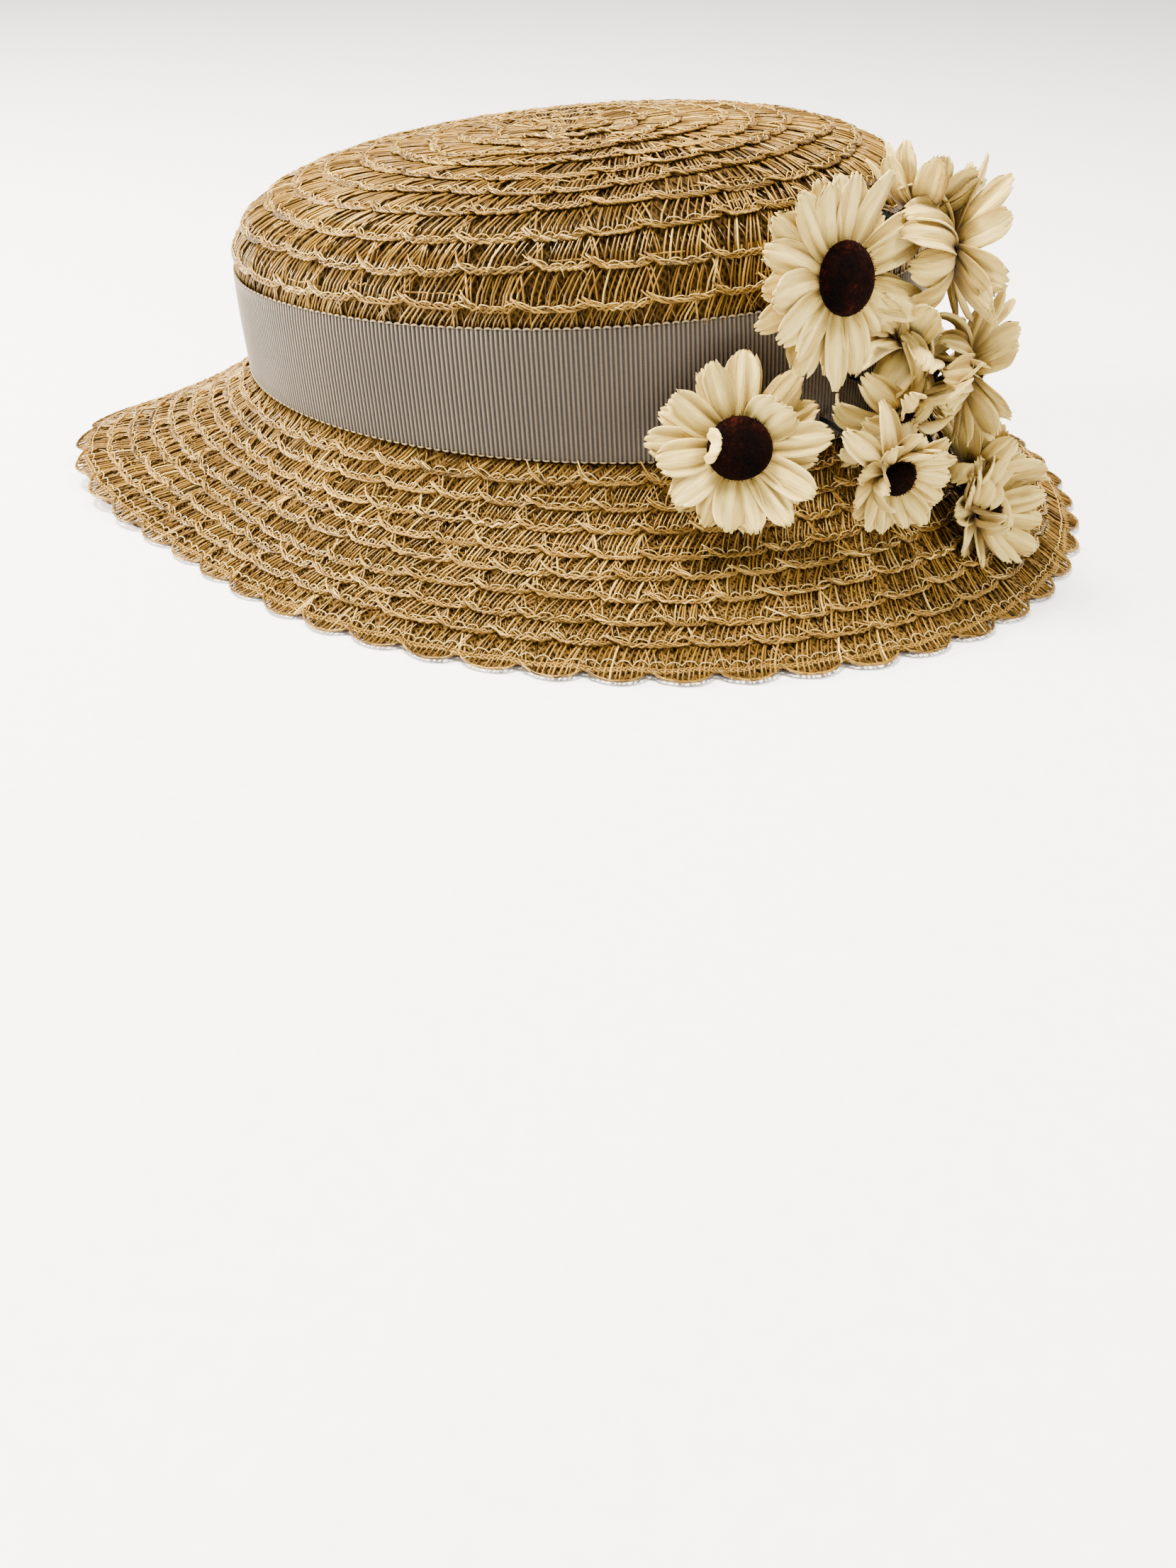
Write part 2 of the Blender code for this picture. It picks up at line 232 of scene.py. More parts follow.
@dataclass(frozen=True)
class GroundFinish:
    """Under-layer of the braid: the same straw in the shade between the top straws."""

    name: str
    shades: tuple[tuple[float, str], ...]
    strand: float = 1.15 * MM
    cross_strand: float = 1.84 * MM
    slant: float = 24.0
    cross_slant: float = -38.0

    def make(self) -> bpy.types.Material:
        """Return the material: two sets of slanted straws drawn along the piece's own UV map."""
        look = Shading(self.name, 0.8, IOR=1.5, Specular_Tint=linear("B08A48"))
        place = look.uv()
        turned = look.mapped(place, Rotation=(0.0, 0.0, math.radians(self.slant)))
        crossed = look.mapped(place, Rotation=(0.0, 0.0, math.radians(self.cross_slant)))
        straws = look.bands(turned, "X", self.strand, distortion=1.2, detail_scale=1.5)
        cross = look.bands(crossed, "X", self.cross_strand, distortion=1.6, detail_scale=1.5)
        height = look.combine("MAXIMUM", straws, cross)
        return look.finish(height, self.shades, look.bump(height, strength=0.8, depth=0.4 * MM))


@dataclass(frozen=True)
class GrosgrainFinish:
    """Rayon grosgrain: fine silky warp over thick weft cords, with a soft low sheen."""

    name: str = "rayon grosgrain"
    shades: tuple[tuple[float, str], ...] = (
        (0.12, "070402"), (0.45, "261D13"), (0.80, "534430"), (1.0, "74644C"))

    def make(self) -> bpy.types.Material:
        """Return the material: taupe, with painted shade between the ribs and on the ribbon's back, with warp
        threads in the bump.
        """
        look = Shading(self.name, 0.62, IOR=1.47, Sheen_Weight=0.50, Sheen_Roughness=0.4)
        place = look.uv()
        # warp threads run along the ribbon, side by side 0.17 mm apart
        warp = look.noise(look.mapped(place, Scale=(1.0, 14.0, 1.0)), size=MM / 0.42, detail=2.0)
        # the tone is painted shade: darkest between the ribs, on the edges and on the back against the crown
        shade = look.add(look.tone(), warp, share=0.20)
        shade = look.add(shade, look.noise(place, size=28 * MM, detail=1.0), share=0.16)
        return look.finish(shade, self.shades, look.bump(warp, strength=0.3, depth=0.06 * MM))


@dataclass(frozen=True)
class PetalFinish:
    """Stiffened plain-weave cotton, cream with a painted shade at the petal's root."""

    name: str = "stiffened cotton petals"
    thread: float = 0.50 * MM
    pleat: float = 0.9 * MM
    shades: tuple[tuple[float, str], ...] = (
        (0.05, "3C2A0C"), (0.38, "82692C"), (0.72, "B0964C"), (1.0, "D0B970"))

    def make(self) -> bpy.types.Material:
        """Return the material: an open weave on each petal's own UV map, its V running root to tip."""
        look = Shading(self.name, 0.95, IOR=1.4, Sheen_Weight=0.10, Specular_IOR_Level=0.25)
        place = look.uv()
        # the real cloth's threads are a little closer than these, which would be lost at that size
        warp = look.bands(place, "X", self.thread, distortion=0.6)
        weft = look.bands(place, "Y", self.thread, distortion=0.6)
        weave = look.combine("MULTIPLY", warp, weft)
        # pressed pleats are drawn as streaks that run the length of a petal, in the bump and as painted shade
        # in the colour
        pleats = look.noise(look.mapped(place, Scale=(1.0, 0.14, 1.0)), self.pleat, detail=2.0)
        # the tone carries painted shade: at the root, where the cloth sinks, and on the back whorl
        shade = look.add(look.tone(), weave, share=0.16)
        shade = look.add(shade, pleats, share=0.44)
        shade = look.combine("SUBTRACT", shade, 0.11)
        pressed = look.bump(pleats, strength=0.9, depth=0.60 * MM)
        woven = look.bump(weave, strength=0.5, depth=0.10 * MM, Normal=pressed)
        return look.finish(shade, self.shades, woven)


@dataclass(frozen=True)
class VelvetFinish:
    """Cotton velvet, brown-black with a red-brown bloom where the pile turns to the light."""

    name: str = "brown velvet"
    shades: tuple[tuple[float, str], ...] = ((0.12, "020101"), (0.30, "0C0201"), (0.50, "2A0A04"))

    def make(self) -> bpy.types.Material:
        """Return the material: very rough, with a mottled pile and a faint red-brown sheen."""
        look = Shading(self.name, 1.0, IOR=1.4, Sheen_Weight=0.10, Sheen_Roughness=0.35,
                       Sheen_Tint=linear("6A2A18"), Specular_IOR_Level=0.05)
        place = look.place()
        pile = look.noise(place, size=0.9 * MM, detail=4.0)
        mixed = look.combine("MULTIPLY", pile, look.noise(place, size=5 * MM, detail=1.0))
        return look.finish(mixed, self.shades, look.bump(pile, strength=1.0, depth=0.3 * MM))


@dataclass(frozen=True)
class WireFinish:
    """Florist's wire wound with dark green paper tape."""

    name: str = "taped stem wire"
    shades: tuple[tuple[float, str], ...] = ((0.3, "030603"), (0.6, "070D06"), (0.9, "121A0E"))

    def make(self) -> bpy.types.Material:
        """Return the material: matt, nearly black green with tape creases in the bump."""
        look = Shading(self.name, 0.85, IOR=1.4, Specular_IOR_Level=0.2)
        tape = look.noise(look.place(), size=1.1 * MM, detail=3.0)
        return look.finish(tape, self.shades, look.bump(tape, strength=0.6, depth=0.2 * MM))


@dataclass(frozen=True)
class FloorFinish:
    """Matt white studio paper."""

    name: str = "white studio paper"
    shades: tuple[tuple[float, str], ...] = ((0.3, "F4F4F3"), (0.7, "FAFAF9"))

    def make(self) -> bpy.types.Material:
        """Return the material: near white with a faint tooth."""
        look = Shading(self.name, 0.9, IOR=1.45)
        return look.finish(look.noise(look.place(), size=4 * MM, detail=2.0), self.shades)


TOP_STRAW = StrawFinish("varnished split straw", (
    (0.05, "1C1104"), (0.40, "573D12"), (0.72, "876526"), (1.0, "CBAC5E")), 0.26)
ROPE_STRAW = StrawFinish("varnished plaited straw edge", (
    (0.05, "281907"), (0.40, "614516"), (0.72, "8E6C2C"), (1.0, "C8AA60")), 0.26)
BRIM_GROUND = GroundFinish("straw braid under-layer in the light", (
    (0.15, "1C1205"), (0.6, "543C16"), (1.0, "7C5C28")))
CROWN_GROUND = GroundFinish("straw braid under-layer in the shade", (
    (0.15, "0C0702"), (0.6, "261806"), (1.0, "44300F")))
STITCH_THREAD = StrawFinish("pale straw stitching", (
    (0.05, "624720"), (0.50, "A08347"), (1.0, "D6BC80")), 0.35)
PICOT_THREAD = StrawFinish("rayon picot loops", (
    (0.05, "463A28"), (0.50, "6E6048"), (1.0, "8E7E64")), 0.50)


@dataclass
class HatShape:
    """Crown and brim surfaces, the same as the CAD source's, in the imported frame."""

    crown_length: float = 0.1874
    crown_width: float = 0.1572
    crown_rise: float = 0.0612
    tip_climb: float = 0.109
    crown_lean: float = -0.0045
    plan_exponent: float = 2.7
    rise_exponent: float = 6.0
    brim_reach: float = 0.0528
    brim_drop: float = 0.033
    brim_flare: float = 0.68
    straw: float = 0.0020
    land_depth: float = 0.0011
    seat_gap: float = 0.0003
    section_azimuths: tuple[float, ...] = (0.0, 40.0, 80.0, 115.0, 145.0, 180.0)
    section_reach: tuple[float, ...] = (0.86, 0.93, 0.82, 0.67, 0.61, 1.00)
    section_drop: tuple[float, ...] = (1.00, 1.00, 1.00, 1.00, 1.00, 0.83)
    shift: float = field(init=False)

    def __post_init__(self) -> None:
        """Find how far the source moved the hat along X to centre it."""
        self.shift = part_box("crown")[1].x - self.crown_length / 2

    @property
    def join(self) -> float:
        """Height of the join between crown and brim."""
        return self.brim_drop + self.straw - self.land_depth

    def section(self, azimuth: np.ndarray, values: tuple[float, ...]) -> np.ndarray:
        """Read one column of the brim's sections smoothly.

        Args:
            azimuth: azimuths in radians.
            values: the column, one value for each of section_azimuths.

        Returns:
            The value at each azimuth.
        """
        knots, heights = np.array(self.section_azimuths), np.array(values)
        slopes = np.zeros(len(knots))
        slopes[1:-1] = (heights[2:] - heights[:-2]) / (knots[2:] - knots[:-2])
        turn = np.degrees(azimuth) % 360.0
        angle = np.minimum(turn, 360.0 - turn)
        i = np.clip(np.searchsorted(knots, angle, side="right") - 1, 0, len(knots) - 2)
        span = knots[i + 1] - knots[i]
        t = (angle - knots[i]) / span
        lift = (2 * t**3 - 3 * t**2 + 1) * heights[i] + (3 * t**2 - 2 * t**3) * heights[i + 1]
        bend = (t**3 - 2 * t**2 + t) * slopes[i] + (t**3 - t**2) * slopes[i + 1]
        return lift + span * bend

    def foot(self, azimuth: np.ndarray) -> tuple[np.ndarray, np.ndarray]:
        """Return points of the crown's foot oval and their outward normals.

        Args:
            azimuth: azimuths in radians.

        Returns:
            Points and unit normals, both with a height of 0.
        """
        a, b = self.crown_length / 2, self.crown_width / 2
        zero = np.zeros_like(azimuth)
        normal = np.stack([np.cos(azimuth) / a, np.sin(azimuth) / b, zero], -1)
        normal /= np.linalg.norm(normal, axis=-1, keepdims=True)
        return np.stack([a * np.cos(azimuth) + self.shift, b * np.sin(azimuth), zero], -1), normal

    def point(self, part: Part, azimuth: np.ndarray, share: np.ndarray) -> np.ndarray:
        """Return points of a straw surface.

        Args:
            part: crown or brim.
            azimuth: azimuths in radians.
            share: 0 at the join, 1 at the middle of the tip or at the rim.

        Returns:
            Points, with the last axis X, Y, Z.
        """
        if part is Part.BRIM:
            place, normal = self.foot(azimuth)
            reach = self.brim_reach * self.section(azimuth, self.section_reach) * share
            drop = self.brim_drop * self.section(azimuth, self.section_drop) * share**self.brim_flare
            place = place + normal * reach[..., None]
            place[..., 2] = self.join - drop
            return place
        angle = share**3 * math.pi / 2
        reach = np.maximum(np.cos(angle), 0.0) ** (2 / self.plan_exponent)
        climb = np.sin(angle) ** (2 / self.rise_exponent)
        x = self.crown_length / 2 * reach * np.cos(azimuth) + self.crown_lean * climb
        y = self.crown_width / 2 * reach * np.sin(azimuth)
        z = self.join + self.seat_gap + (self.crown_rise + self.tip_climb * x) * climb
        return np.stack([x + self.shift, y, z], -1)

    def place(self, part: Part, azimuth, share, out, height) -> np.ndarray:
        """Return points laid on a straw surface.

        Args:
            part: crown or brim.
            azimuth: azimuths in radians.
            share: share of the surface that the point starts from.
            out: metres from there along the surface, away from the middle of the tip.
            height: metres over the surface.

        Returns:
            Points, with the last axis X, Y, Z.
        """
        azimuth, share, out, height = np.broadcast_arrays(
            *(np.asarray(v, float) for v in (azimuth, share, out, height)))
        sign = 1.0 if part is Part.BRIM else -1.0
        top = 1.0 if part is Part.BRIM else 0.9995
        step = 0.0005
        start = np.clip(share, 0.002, top - step)
        along = self.point(part, azimuth, start + step) - self.point(part, azimuth, start - step)
        rate = np.linalg.norm(along, axis=-1) / (2 * step)
        moved = share + sign * out / rate
        kept = np.clip(moved, 0.0, top)
        inner = np.clip(kept, 0.002, top - step)
        along = self.point(part, azimuth, inner + step) - self.point(part, azimuth, inner - step)
        slope = sign * along / np.linalg.norm(along, axis=-1, keepdims=True)
        around = self.point(part, azimuth + step, kept) - self.point(part, azimuth - step, kept)
        normal = np.cross(around, slope)
        normal /= np.maximum(np.linalg.norm(normal, axis=-1, keepdims=True), 1e-12)
        outside = np.stack([np.cos(azimuth), np.sin(azimuth), np.ones_like(azimuth)], -1)
        normal *= np.where((normal * outside).sum(-1, keepdims=True) < 0, -1.0, 1.0)
        beyond = (moved - kept) * rate * sign
        return self.point(part, azimuth, kept) + slope * beyond[..., None] + normal * height[..., None]

    def slant_table(self, part: Part) -> tuple[np.ndarray, np.ndarray]:
        """Return shares and the distances along the side section that they lie at."""
        shares = np.linspace(0.0, 0.9995, 1200)
        points = self.point(part, np.full_like(shares, -math.pi / 2), shares)
        steps = np.linalg.norm(np.diff(points, axis=0), axis=-1)
        return shares, np.concatenate([[0.0], np.cumsum(steps)])

    def share_at_height(self, height: np.ndarray) -> np.ndarray:
        """Return the crown's shares at heights over its foot, on the side section."""
        shares = np.linspace(0.0, 0.9, 2000)
        points = self.point(Part.CROWN, np.full_like(shares, -math.pi / 2), shares)
        return np.interp(height, points[:, 2] - self.join - self.seat_gap, shares)

    def girth(self, part: Part, share: float) -> float:
        """Return the length of a ring of a surface at one share, in metres."""
        turn = np.linspace(0.0, 2 * math.pi, 361)
        points = self.point(part, turn, np.full_like(turn, share))
        return float(np.linalg.norm(np.diff(points, axis=0), axis=-1).sum())


def even(count: int) -> np.ndarray:
    """Return a row of even steps from 0 to 1."""
    return np.linspace(0.0, 1.0, count)[None, :]


def close_mesh(name: str, bm: bmesh.types.BMesh) -> bpy.types.Mesh:
    """Turn a finished bmesh's faces outward, free it and return its mesh."""
    bmesh.ops.recalc_face_normals(bm, faces=bm.faces)
    mesh = bpy.data.meshes.new(name)
    bm.to_mesh(mesh)
    bm.free()
    return mesh


@dataclass
class Strip:
    """A grid that is wrapped round the hat: columns along its length, levels across its section."""

    columns: int
    levels: np.ndarray
    length: float
    depth: float
    bm: bmesh.types.BMesh = field(init=False)
    azimuth: np.ndarray = field(init=False)
    column: np.ndarray = field(init=False)
    rank: np.ndarray = field(init=False)

    def __post_init__(self) -> None:
        """Make the grid, with a UV map in metres, and find each point's column and rank."""
        rows = len(self.levels) - 1
        self.bm = bmesh.new()
        bmesh.ops.create_grid(self.bm, x_segments=self.columns, y_segments=rows, size=0.5)
        uv_layer = self.bm.loops.layers.uv.new("UVMap")
        for face in self.bm.faces:
            for loop in face.loops:
                rank = (loop.vert.co.y + 0.5) * rows
                level = np.interp(rank, np.arange(rows + 1), self.levels)
                loop[uv_layer].uv = ((loop.vert.co.x + 0.5) * self.length, level * self.depth)
        flat = np.array([vert.co for vert in self.bm.verts]) + 0.5
        self.column = np.rint(flat[:, 0] * self.columns).astype(int)
        self.rank = np.rint(flat[:, 1] * rows).astype(int)
        self.azimuth = self.column / self.columns * 2 * math.pi

    def close(self, name: str, points: np.ndarray, seam: float) -> bpy.types.Mesh:
        """Move the points to their places, weld those nearer than the seam and return the mesh."""
        for vert, point in zip(self.bm.verts, points):
            vert.co = point
        bmesh.ops.remove_doubles(self.bm, verts=self.bm.verts, dist=seam)
        return close_mesh(name, self.bm)


def finish_piece(name: str, mesh: bpy.types.Mesh, material: bpy.types.Material) -> bpy.types.Object:
    """Put a mesh in the scene as a piece of the hat that rides on its only body.

    Args:
        name: the piece's name.
        mesh: its mesh, with its place in its points.
        material: its material.

    Returns:
        The new object.
    """
    piece = bpy.data.objects.new(name, mesh)
    bpy.context.scene.collection.objects.link(piece)
    mesh.materials.clear()
    mesh.materials.append(material)
    mesh.shade_smooth()
    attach(piece, BODY)
    LOG.info("%s: %d faces", name, len(mesh.polygons))
    return piece


@dataclass
class StrandSet:
    """Round straws, threads or wires gathered into one mesh."""

    name: str
    sides: int = 4
    routes: list = field(default_factory=list)

    def add(self, points: np.ndarray, radius: float | np.ndarray, tone: np.ndarray,
            closed: bool = False) -> None:
        """Add strands that have the same number of points.

        Args:
            points: strands by points by 3.
            radius: strand radius in metres, one value or one for each strand or point.
            tone: one shade from 0 to 1 for each strand.
            closed: whether each strand is a ring.
        """
        count, size, _ = points.shape
        radii = np.asarray(radius, float)
        if radii.ndim == 1:
            radii = radii[:, None]
        self.routes.append((points, np.broadcast_to(radii, (count, size)), tone, closed))

    def mesh(self) -> bpy.types.Mesh:
        """Return one mesh of all the strands, with each strand's shade as its tone attribute."""
        curve = bpy.data.curves.new(self.name, "CURVE")
        curve.dimensions = "3D"
        curve.bevel_depth = 1.0
        curve.bevel_resolution = (self.sides - 4) // 2
        tones = []
        for points, radii, tone, closed in self.routes:
            count, size, _ = points.shape
            four = np.concatenate([points, np.ones((count, size, 1))], -1)
            for i in range(count):
                spline = curve.splines.new("POLY")
                spline.points.add(size - 1)
                spline.points.foreach_set("co", four[i].ravel())
                spline.points.foreach_set("radius", radii[i])
                spline.use_cyclic_u = closed
            tones.append(np.repeat(tone, size * self.sides))
        holder = bpy.data.objects.new(self.name + "_curve", curve)
        bpy.context.scene.collection.objects.link(holder)
        graph = bpy.context.evaluated_depsgraph_get()
        mesh = bpy.data.meshes.new_from_object(holder.evaluated_get(graph))
        bpy.data.objects.remove(holder)
        bpy.data.curves.remove(curve)
        flat = np.concatenate(tones)
        if len(flat) != len(mesh.vertices):
            raise ValueError(f"{self.name}: {len(flat)} shades for {len(mesh.vertices)} points")
        tone_layer = mesh.attributes.new("tone", "FLOAT", "POINT")
        tone_layer.data.foreach_set("value", flat)
        bm = bmesh.new()
        bm.from_mesh(mesh)
        ends = [edge for edge in bm.edges if edge.is_boundary]
        bmesh.ops.holes_fill(bm, edges=ends, sides=self.sides)
        bm.to_mesh(mesh)
        bm.free()
        mesh.name = self.name
        return mesh


@dataclass
class BraidRow:
    """One row of scalloped braid: where it starts under its neighbour and where its edge lies."""

    part: Part
    start: float
    stop: float
    count: int
    phase: float
    depth: float
    step: float
    hop: float
    swell: np.ndarray
    notches: np.ndarray
    rim: bool = False
    hidden: bool = False

    def between(self, share: float) -> float:
        """Return the surface's share that lies a share of the way from the row's start to its mark."""
        return self.start + (self.stop - self.start) * share


@dataclass
class StrawBraid:
    """Scalloped straw braid sewn round the crown and the brim in lapped rows."""

    shape: HatShape
    inner_pitch: float = 12.4 * MM
    outer_pitch: float = 15.4 * MM
    crown_scallop: float = 13.4 * MM
    overlap: float = 2.2 * MM
    scallop: float = 1.8 * MM
    rim_scallop: float = 4.2 * MM
    straw_radius: float = 0.27 * MM
    rope_radius: float = 0.34 * MM
    rope_reach: float = 0.58 * MM
    plait: float = 4.6 * MM
    thread_radius: float = 0.15 * MM
    wisp_radius: float = 0.09 * MM
    straws: int = 12
    under_straws: int = 6
    step: float = 0.9 * MM
    brim_rows: int = 9
    rim_count: int = 54
    crown_pitch: float = 7.9 * MM
    clearance: float = 0.9 * MM
    ground_columns: int = 216
    ground_depth: float = 90.0 * MM
    seed: int = 11
    rng: np.random.Generator = field(init=False)

    def __post_init__(self) -> None:
        """Start the seeded random numbers."""
        self.rng = np.random.default_rng(self.seed)

    def wobble(self, size: float) -> np.ndarray:
        """Return random cosine and sine weights for a row's slow wander, in metres."""
        return self.rng.normal(0.0, size, (2, 7)) / np.arange(1, 8) ** 0.6

    def notch_places(self, count: int, spread: float) -> np.ndarray:
        """Return where a row's notches lie, counted in even scallops, the last one turn on."""
        places = np.arange(count + 1.0)
        places[:-1] += self.rng.normal(0.0, spread, count)
        places[-1] = places[0] + count
        return places

    def tones(self, mean: float, spread: float, count: int) -> np.ndarray:
        """Return random shades, none under 0 or over 1."""
        return np.clip(self.rng.normal(mean, spread, count), 0.0, 1.0)

    def tuck(self, row: BraidRow, share: float = 1.0) -> float:
        """Return how far out of a row's start its straws begin, which is back under the row before."""
        return 0.0 if row.start == 0.0 else -self.overlap * share

    def make_rows(self) -> tuple[list[BraidRow], list[BraidRow]]:
        """Return the brim's rows from the join out, and the crown's from the ribbon up."""
        shares, distance = self.shape.slant_table(Part.BRIM)
        marks = np.interp(np.linspace(0.0, distance[-1], self.brim_rows + 1), distance, shares)
        marks[-1] = 1.0
        brim = []
        for i in range(self.brim_rows):
            rim = i == self.brim_rows - 1
            pitch = self.inner_pitch + (self.outer_pitch - self.inner_pitch) * i / (self.brim_rows - 1)
            count = self.rim_count if rim else round(self.shape.girth(Part.BRIM, marks[i + 1]) / pitch)
            phase = 0.0 if rim else self.rng.uniform()
            brim.append(BraidRow(
                Part.BRIM, marks[i], marks[i + 1], count, phase, self.rim_scallop if rim else self.scallop,
                self.step, 0.8 * MM, self.wobble(0.0 if rim else 0.28 * MM),
                self.notch_places(count, 0.0 if rim else 0.09), rim))
        shares, distance = self.shape.slant_table(Part.CROWN)
        base = float(np.interp(self.shape.share_at_height(RIBBON_HEIGHT), shares, distance))
        rows = round((distance[-1] - base - 4 * MM) / self.crown_pitch)
        edges = np.linspace(base + 4 * MM, distance[-1], rows + 1)
        edges = np.concatenate([[base - 1.6 * MM], edges])
        marks = np.interp(edges, distance, shares)
        crown = []
        for i in range(rows + 1):
            count = max(5, round(self.shape.girth(Part.CROWN, marks[i]) / self.crown_scallop))
            wander = self.wobble(0.0 if i == 0 else (0.30 + 0.06 * i) * MM)
            hop = 0.35 * MM if i in (1, 2) else 0.8 * MM
            crown.append(BraidRow(
                Part.CROWN, marks[i + 1], marks[i], count, self.rng.uniform(), self.scallop,
                0.0 if i == 0 else self.step, hop, wander, self.notch_places(count, 0.09), hidden=i == 0))
        return brim, crown

    def arc(self, row: BraidRow, local: np.ndarray) -> np.ndarray:
        """Return how far out of a row's mark a scallop's edge lies, without the row's wander.

        Args:
            row: the braid row.
            local: place along the scallop, 0 at its notch and 1 at the next.

        Returns:
            Metres away from the middle of the tip: steep at the notch, then flat, then rising a little.
        """
        if row.rim:
            return row.depth * np.sin(math.pi * np.clip(local, 0.0, 1.0)) ** 0.7
        steep = np.clip(1.0 - (local + 0.10) / 0.38, 0.0, 1.0)
        tail = np.clip((local - 0.70) / 0.34, 0.0, 1.2)
        return -(row.depth + 0.9 * MM) * steep**2 - 0.55 * row.depth * tail**2

    def wander(self, row: BraidRow, turn: np.ndarray) -> np.ndarray:
        """Return the slow wander of a row at places counted in scallops, in metres."""
        azimuth = 2 * math.pi * turn / row.count
        waves = np.arange(2, 9)[:, None]
        flat = azimuth.reshape(1, -1)
        total = row.swell[0] @ np.cos(waves * flat) + row.swell[1] @ np.sin(waves * flat)
        return total.reshape(azimuth.shape)

    def edge(self, row: BraidRow, turn: np.ndarray) -> np.ndarray:
        """Return how far out of a row's mark its edge lies at places counted in scallops, in metres."""
        return self.arc(row, np.mod(turn, 1.0)) + self.wander(row, turn)

    def lay(self, row: BraidRow, turn: np.ndarray, down: float | np.ndarray, out: np.ndarray,
            height: np.ndarray) -> np.ndarray:
        """Place points of a row on the hat.

        Args:
            row: the braid row.
            turn: place along the row, counted in scallops.
            down: share of the row from its start, 0, to its mark, 1.
            out: metres further out.
            height: metres over the surface.

        Returns:
            Points in the hat's frame, all over the floor.
        """
        laps = np.floor(turn / row.count)
        real = np.interp(turn - laps * row.count, np.arange(row.count + 1.0), row.notches) + laps * row.count
        azimuth = 2 * math.pi * (real + row.phase) / row.count
        points = self.shape.place(row.part, azimuth, row.between(down), out, height)
        points[..., 2] = np.maximum(points[..., 2], self.clearance + 0.25 * np.maximum(points[..., 2], 0.0))
        return points

    def pitch_of(self, row: BraidRow) -> float:
        """Return a row's mean scallop length in metres."""
        return self.shape.girth(row.part, row.stop) / row.count

    def straw_layer(self, row: BraidRow, strands: StrandSet) -> None:
        """Lay the slanted straws that cross a row, in a herringbone that turns at each notch."""
        total = row.count * self.straws
        feet = (np.arange(total) + 0.5) / self.straws + self.rng.normal(0.0, 0.011, total)
        t = even(4)
        local = np.mod(feet, 1.0)
        lean = np.where(local < 0.14, -1.2 * MM, (3.3 + 1.6 * local) * MM)
        lean = lean + self.rng.normal(0.0, 0.60 * MM, total)
        turn = feet[:, None] + lean[:, None] / self.pitch_of(row) * (1 - t) ** 1.5
        out = self.tuck(row) * (1 - t) + (self.edge(row, feet)[:, None] - 0.2 * MM) * t
        bow = 0.40 * MM * np.sin(math.pi * t) + self.rng.normal(0.0, 0.13 * MM, (total, 1))
        rise = 0.35 * MM + row.step * t**1.3 + (0.1 * MM if row.hidden else bow)
        points = self.lay(row, turn, t, out, rise)
        radius = self.straw_radius * self.rng.uniform(0.72, 1.2, total)
        shade = 0.44 + self.rng.normal(0.0, 0.15, total) + 0.3 * (self.rng.uniform(size=total) < 0.12)
        strands.add(points, radius, np.clip(shade, 0.0, 1.0))

    def ladder_straws(self, row: BraidRow, strands: StrandSet) -> None:
        """Lay the deeper straws, which stand nearly upright and show between the slanted ones."""
        total = row.count * self.under_straws
        feet = (np.arange(total) + 0.5) / self.under_straws + self.rng.normal(0.0, 0.03, total)
        t = even(3)
        lean = self.rng.normal(-0.6 * MM, 1.0 * MM, (total, 1)) / self.pitch_of(row)
        turn = feet[:, None] + lean * (1 - t)
        out = self.tuck(row, 0.8) * (1 - t) + (self.edge(row, feet)[:, None] - 0.8 * MM) * t
        rise = 0.08 * MM + row.step * 0.8 * t + 0.1 * MM * np.sin(math.pi * t)
        points = self.lay(row, turn, t, out, rise)
        radius = self.straw_radius * self.rng.uniform(0.8, 1.2, total)
        # painted shade: these deeper straws get a darker shade than the slanted ones over them
        strands.add(points, radius, self.tones(0.16, 0.14, total))

    def cross_straws(self, row: BraidRow, strands: StrandSet) -> None:
        """Lay the odd straw that runs along a row through its middle."""
        total = max(2, round(row.count * 0.25))
        first = self.rng.uniform(0.0, row.count, total)[:, None]
        t = even(7)
        turn = first + t * self.rng.uniform(0.5, 1.1, (total, 1))
        down = self.rng.uniform(0.35, 0.7, (total, 1))
        out = self.rng.normal(0.0, 0.18 * MM, turn.shape)
        rise = 0.55 * MM + row.step * down + 0.28 * MM * np.sin(t * 19.0 + first)
        points = self.lay(row, turn, down, out, rise)
        strands.add(points, self.straw_radius * 0.8, self.tones(0.55, 0.15, total))

    def notch_straws(self, row: BraidRow, strands: StrandSet) -> None:
        """Lay the pale straws that run steeply down into the rope at the start of each scallop."""
        for place, long in ((-0.14, 3.4 * MM), (-0.02, 2.2 * MM)):
            first = np.arange(row.count) + place + self.rng.normal(0.0, 0.05, row.count)
            long = long * self.rng.uniform(0.35, 1.15, (row.count, 1))
            t = even(5)
            turn = first[:, None] + 0.24 * t**1.15
            last = self.arc(row, np.full((row.count, 1), place + 0.24)) + self.wander(row, first[:, None])
            out = last - 0.4 * MM - long * (1 - t) ** 1.3
            rise = row.step + 0.45 * MM + 0.45 * MM * np.sin(math.pi * t)
            points = self.lay(row, turn, 1.0, out, rise)
            radius = self.straw_radius * self.rng.uniform(0.6, 0.95, row.count)
            strands.add(points, radius, self.tones(0.66, 0.16, row.count))

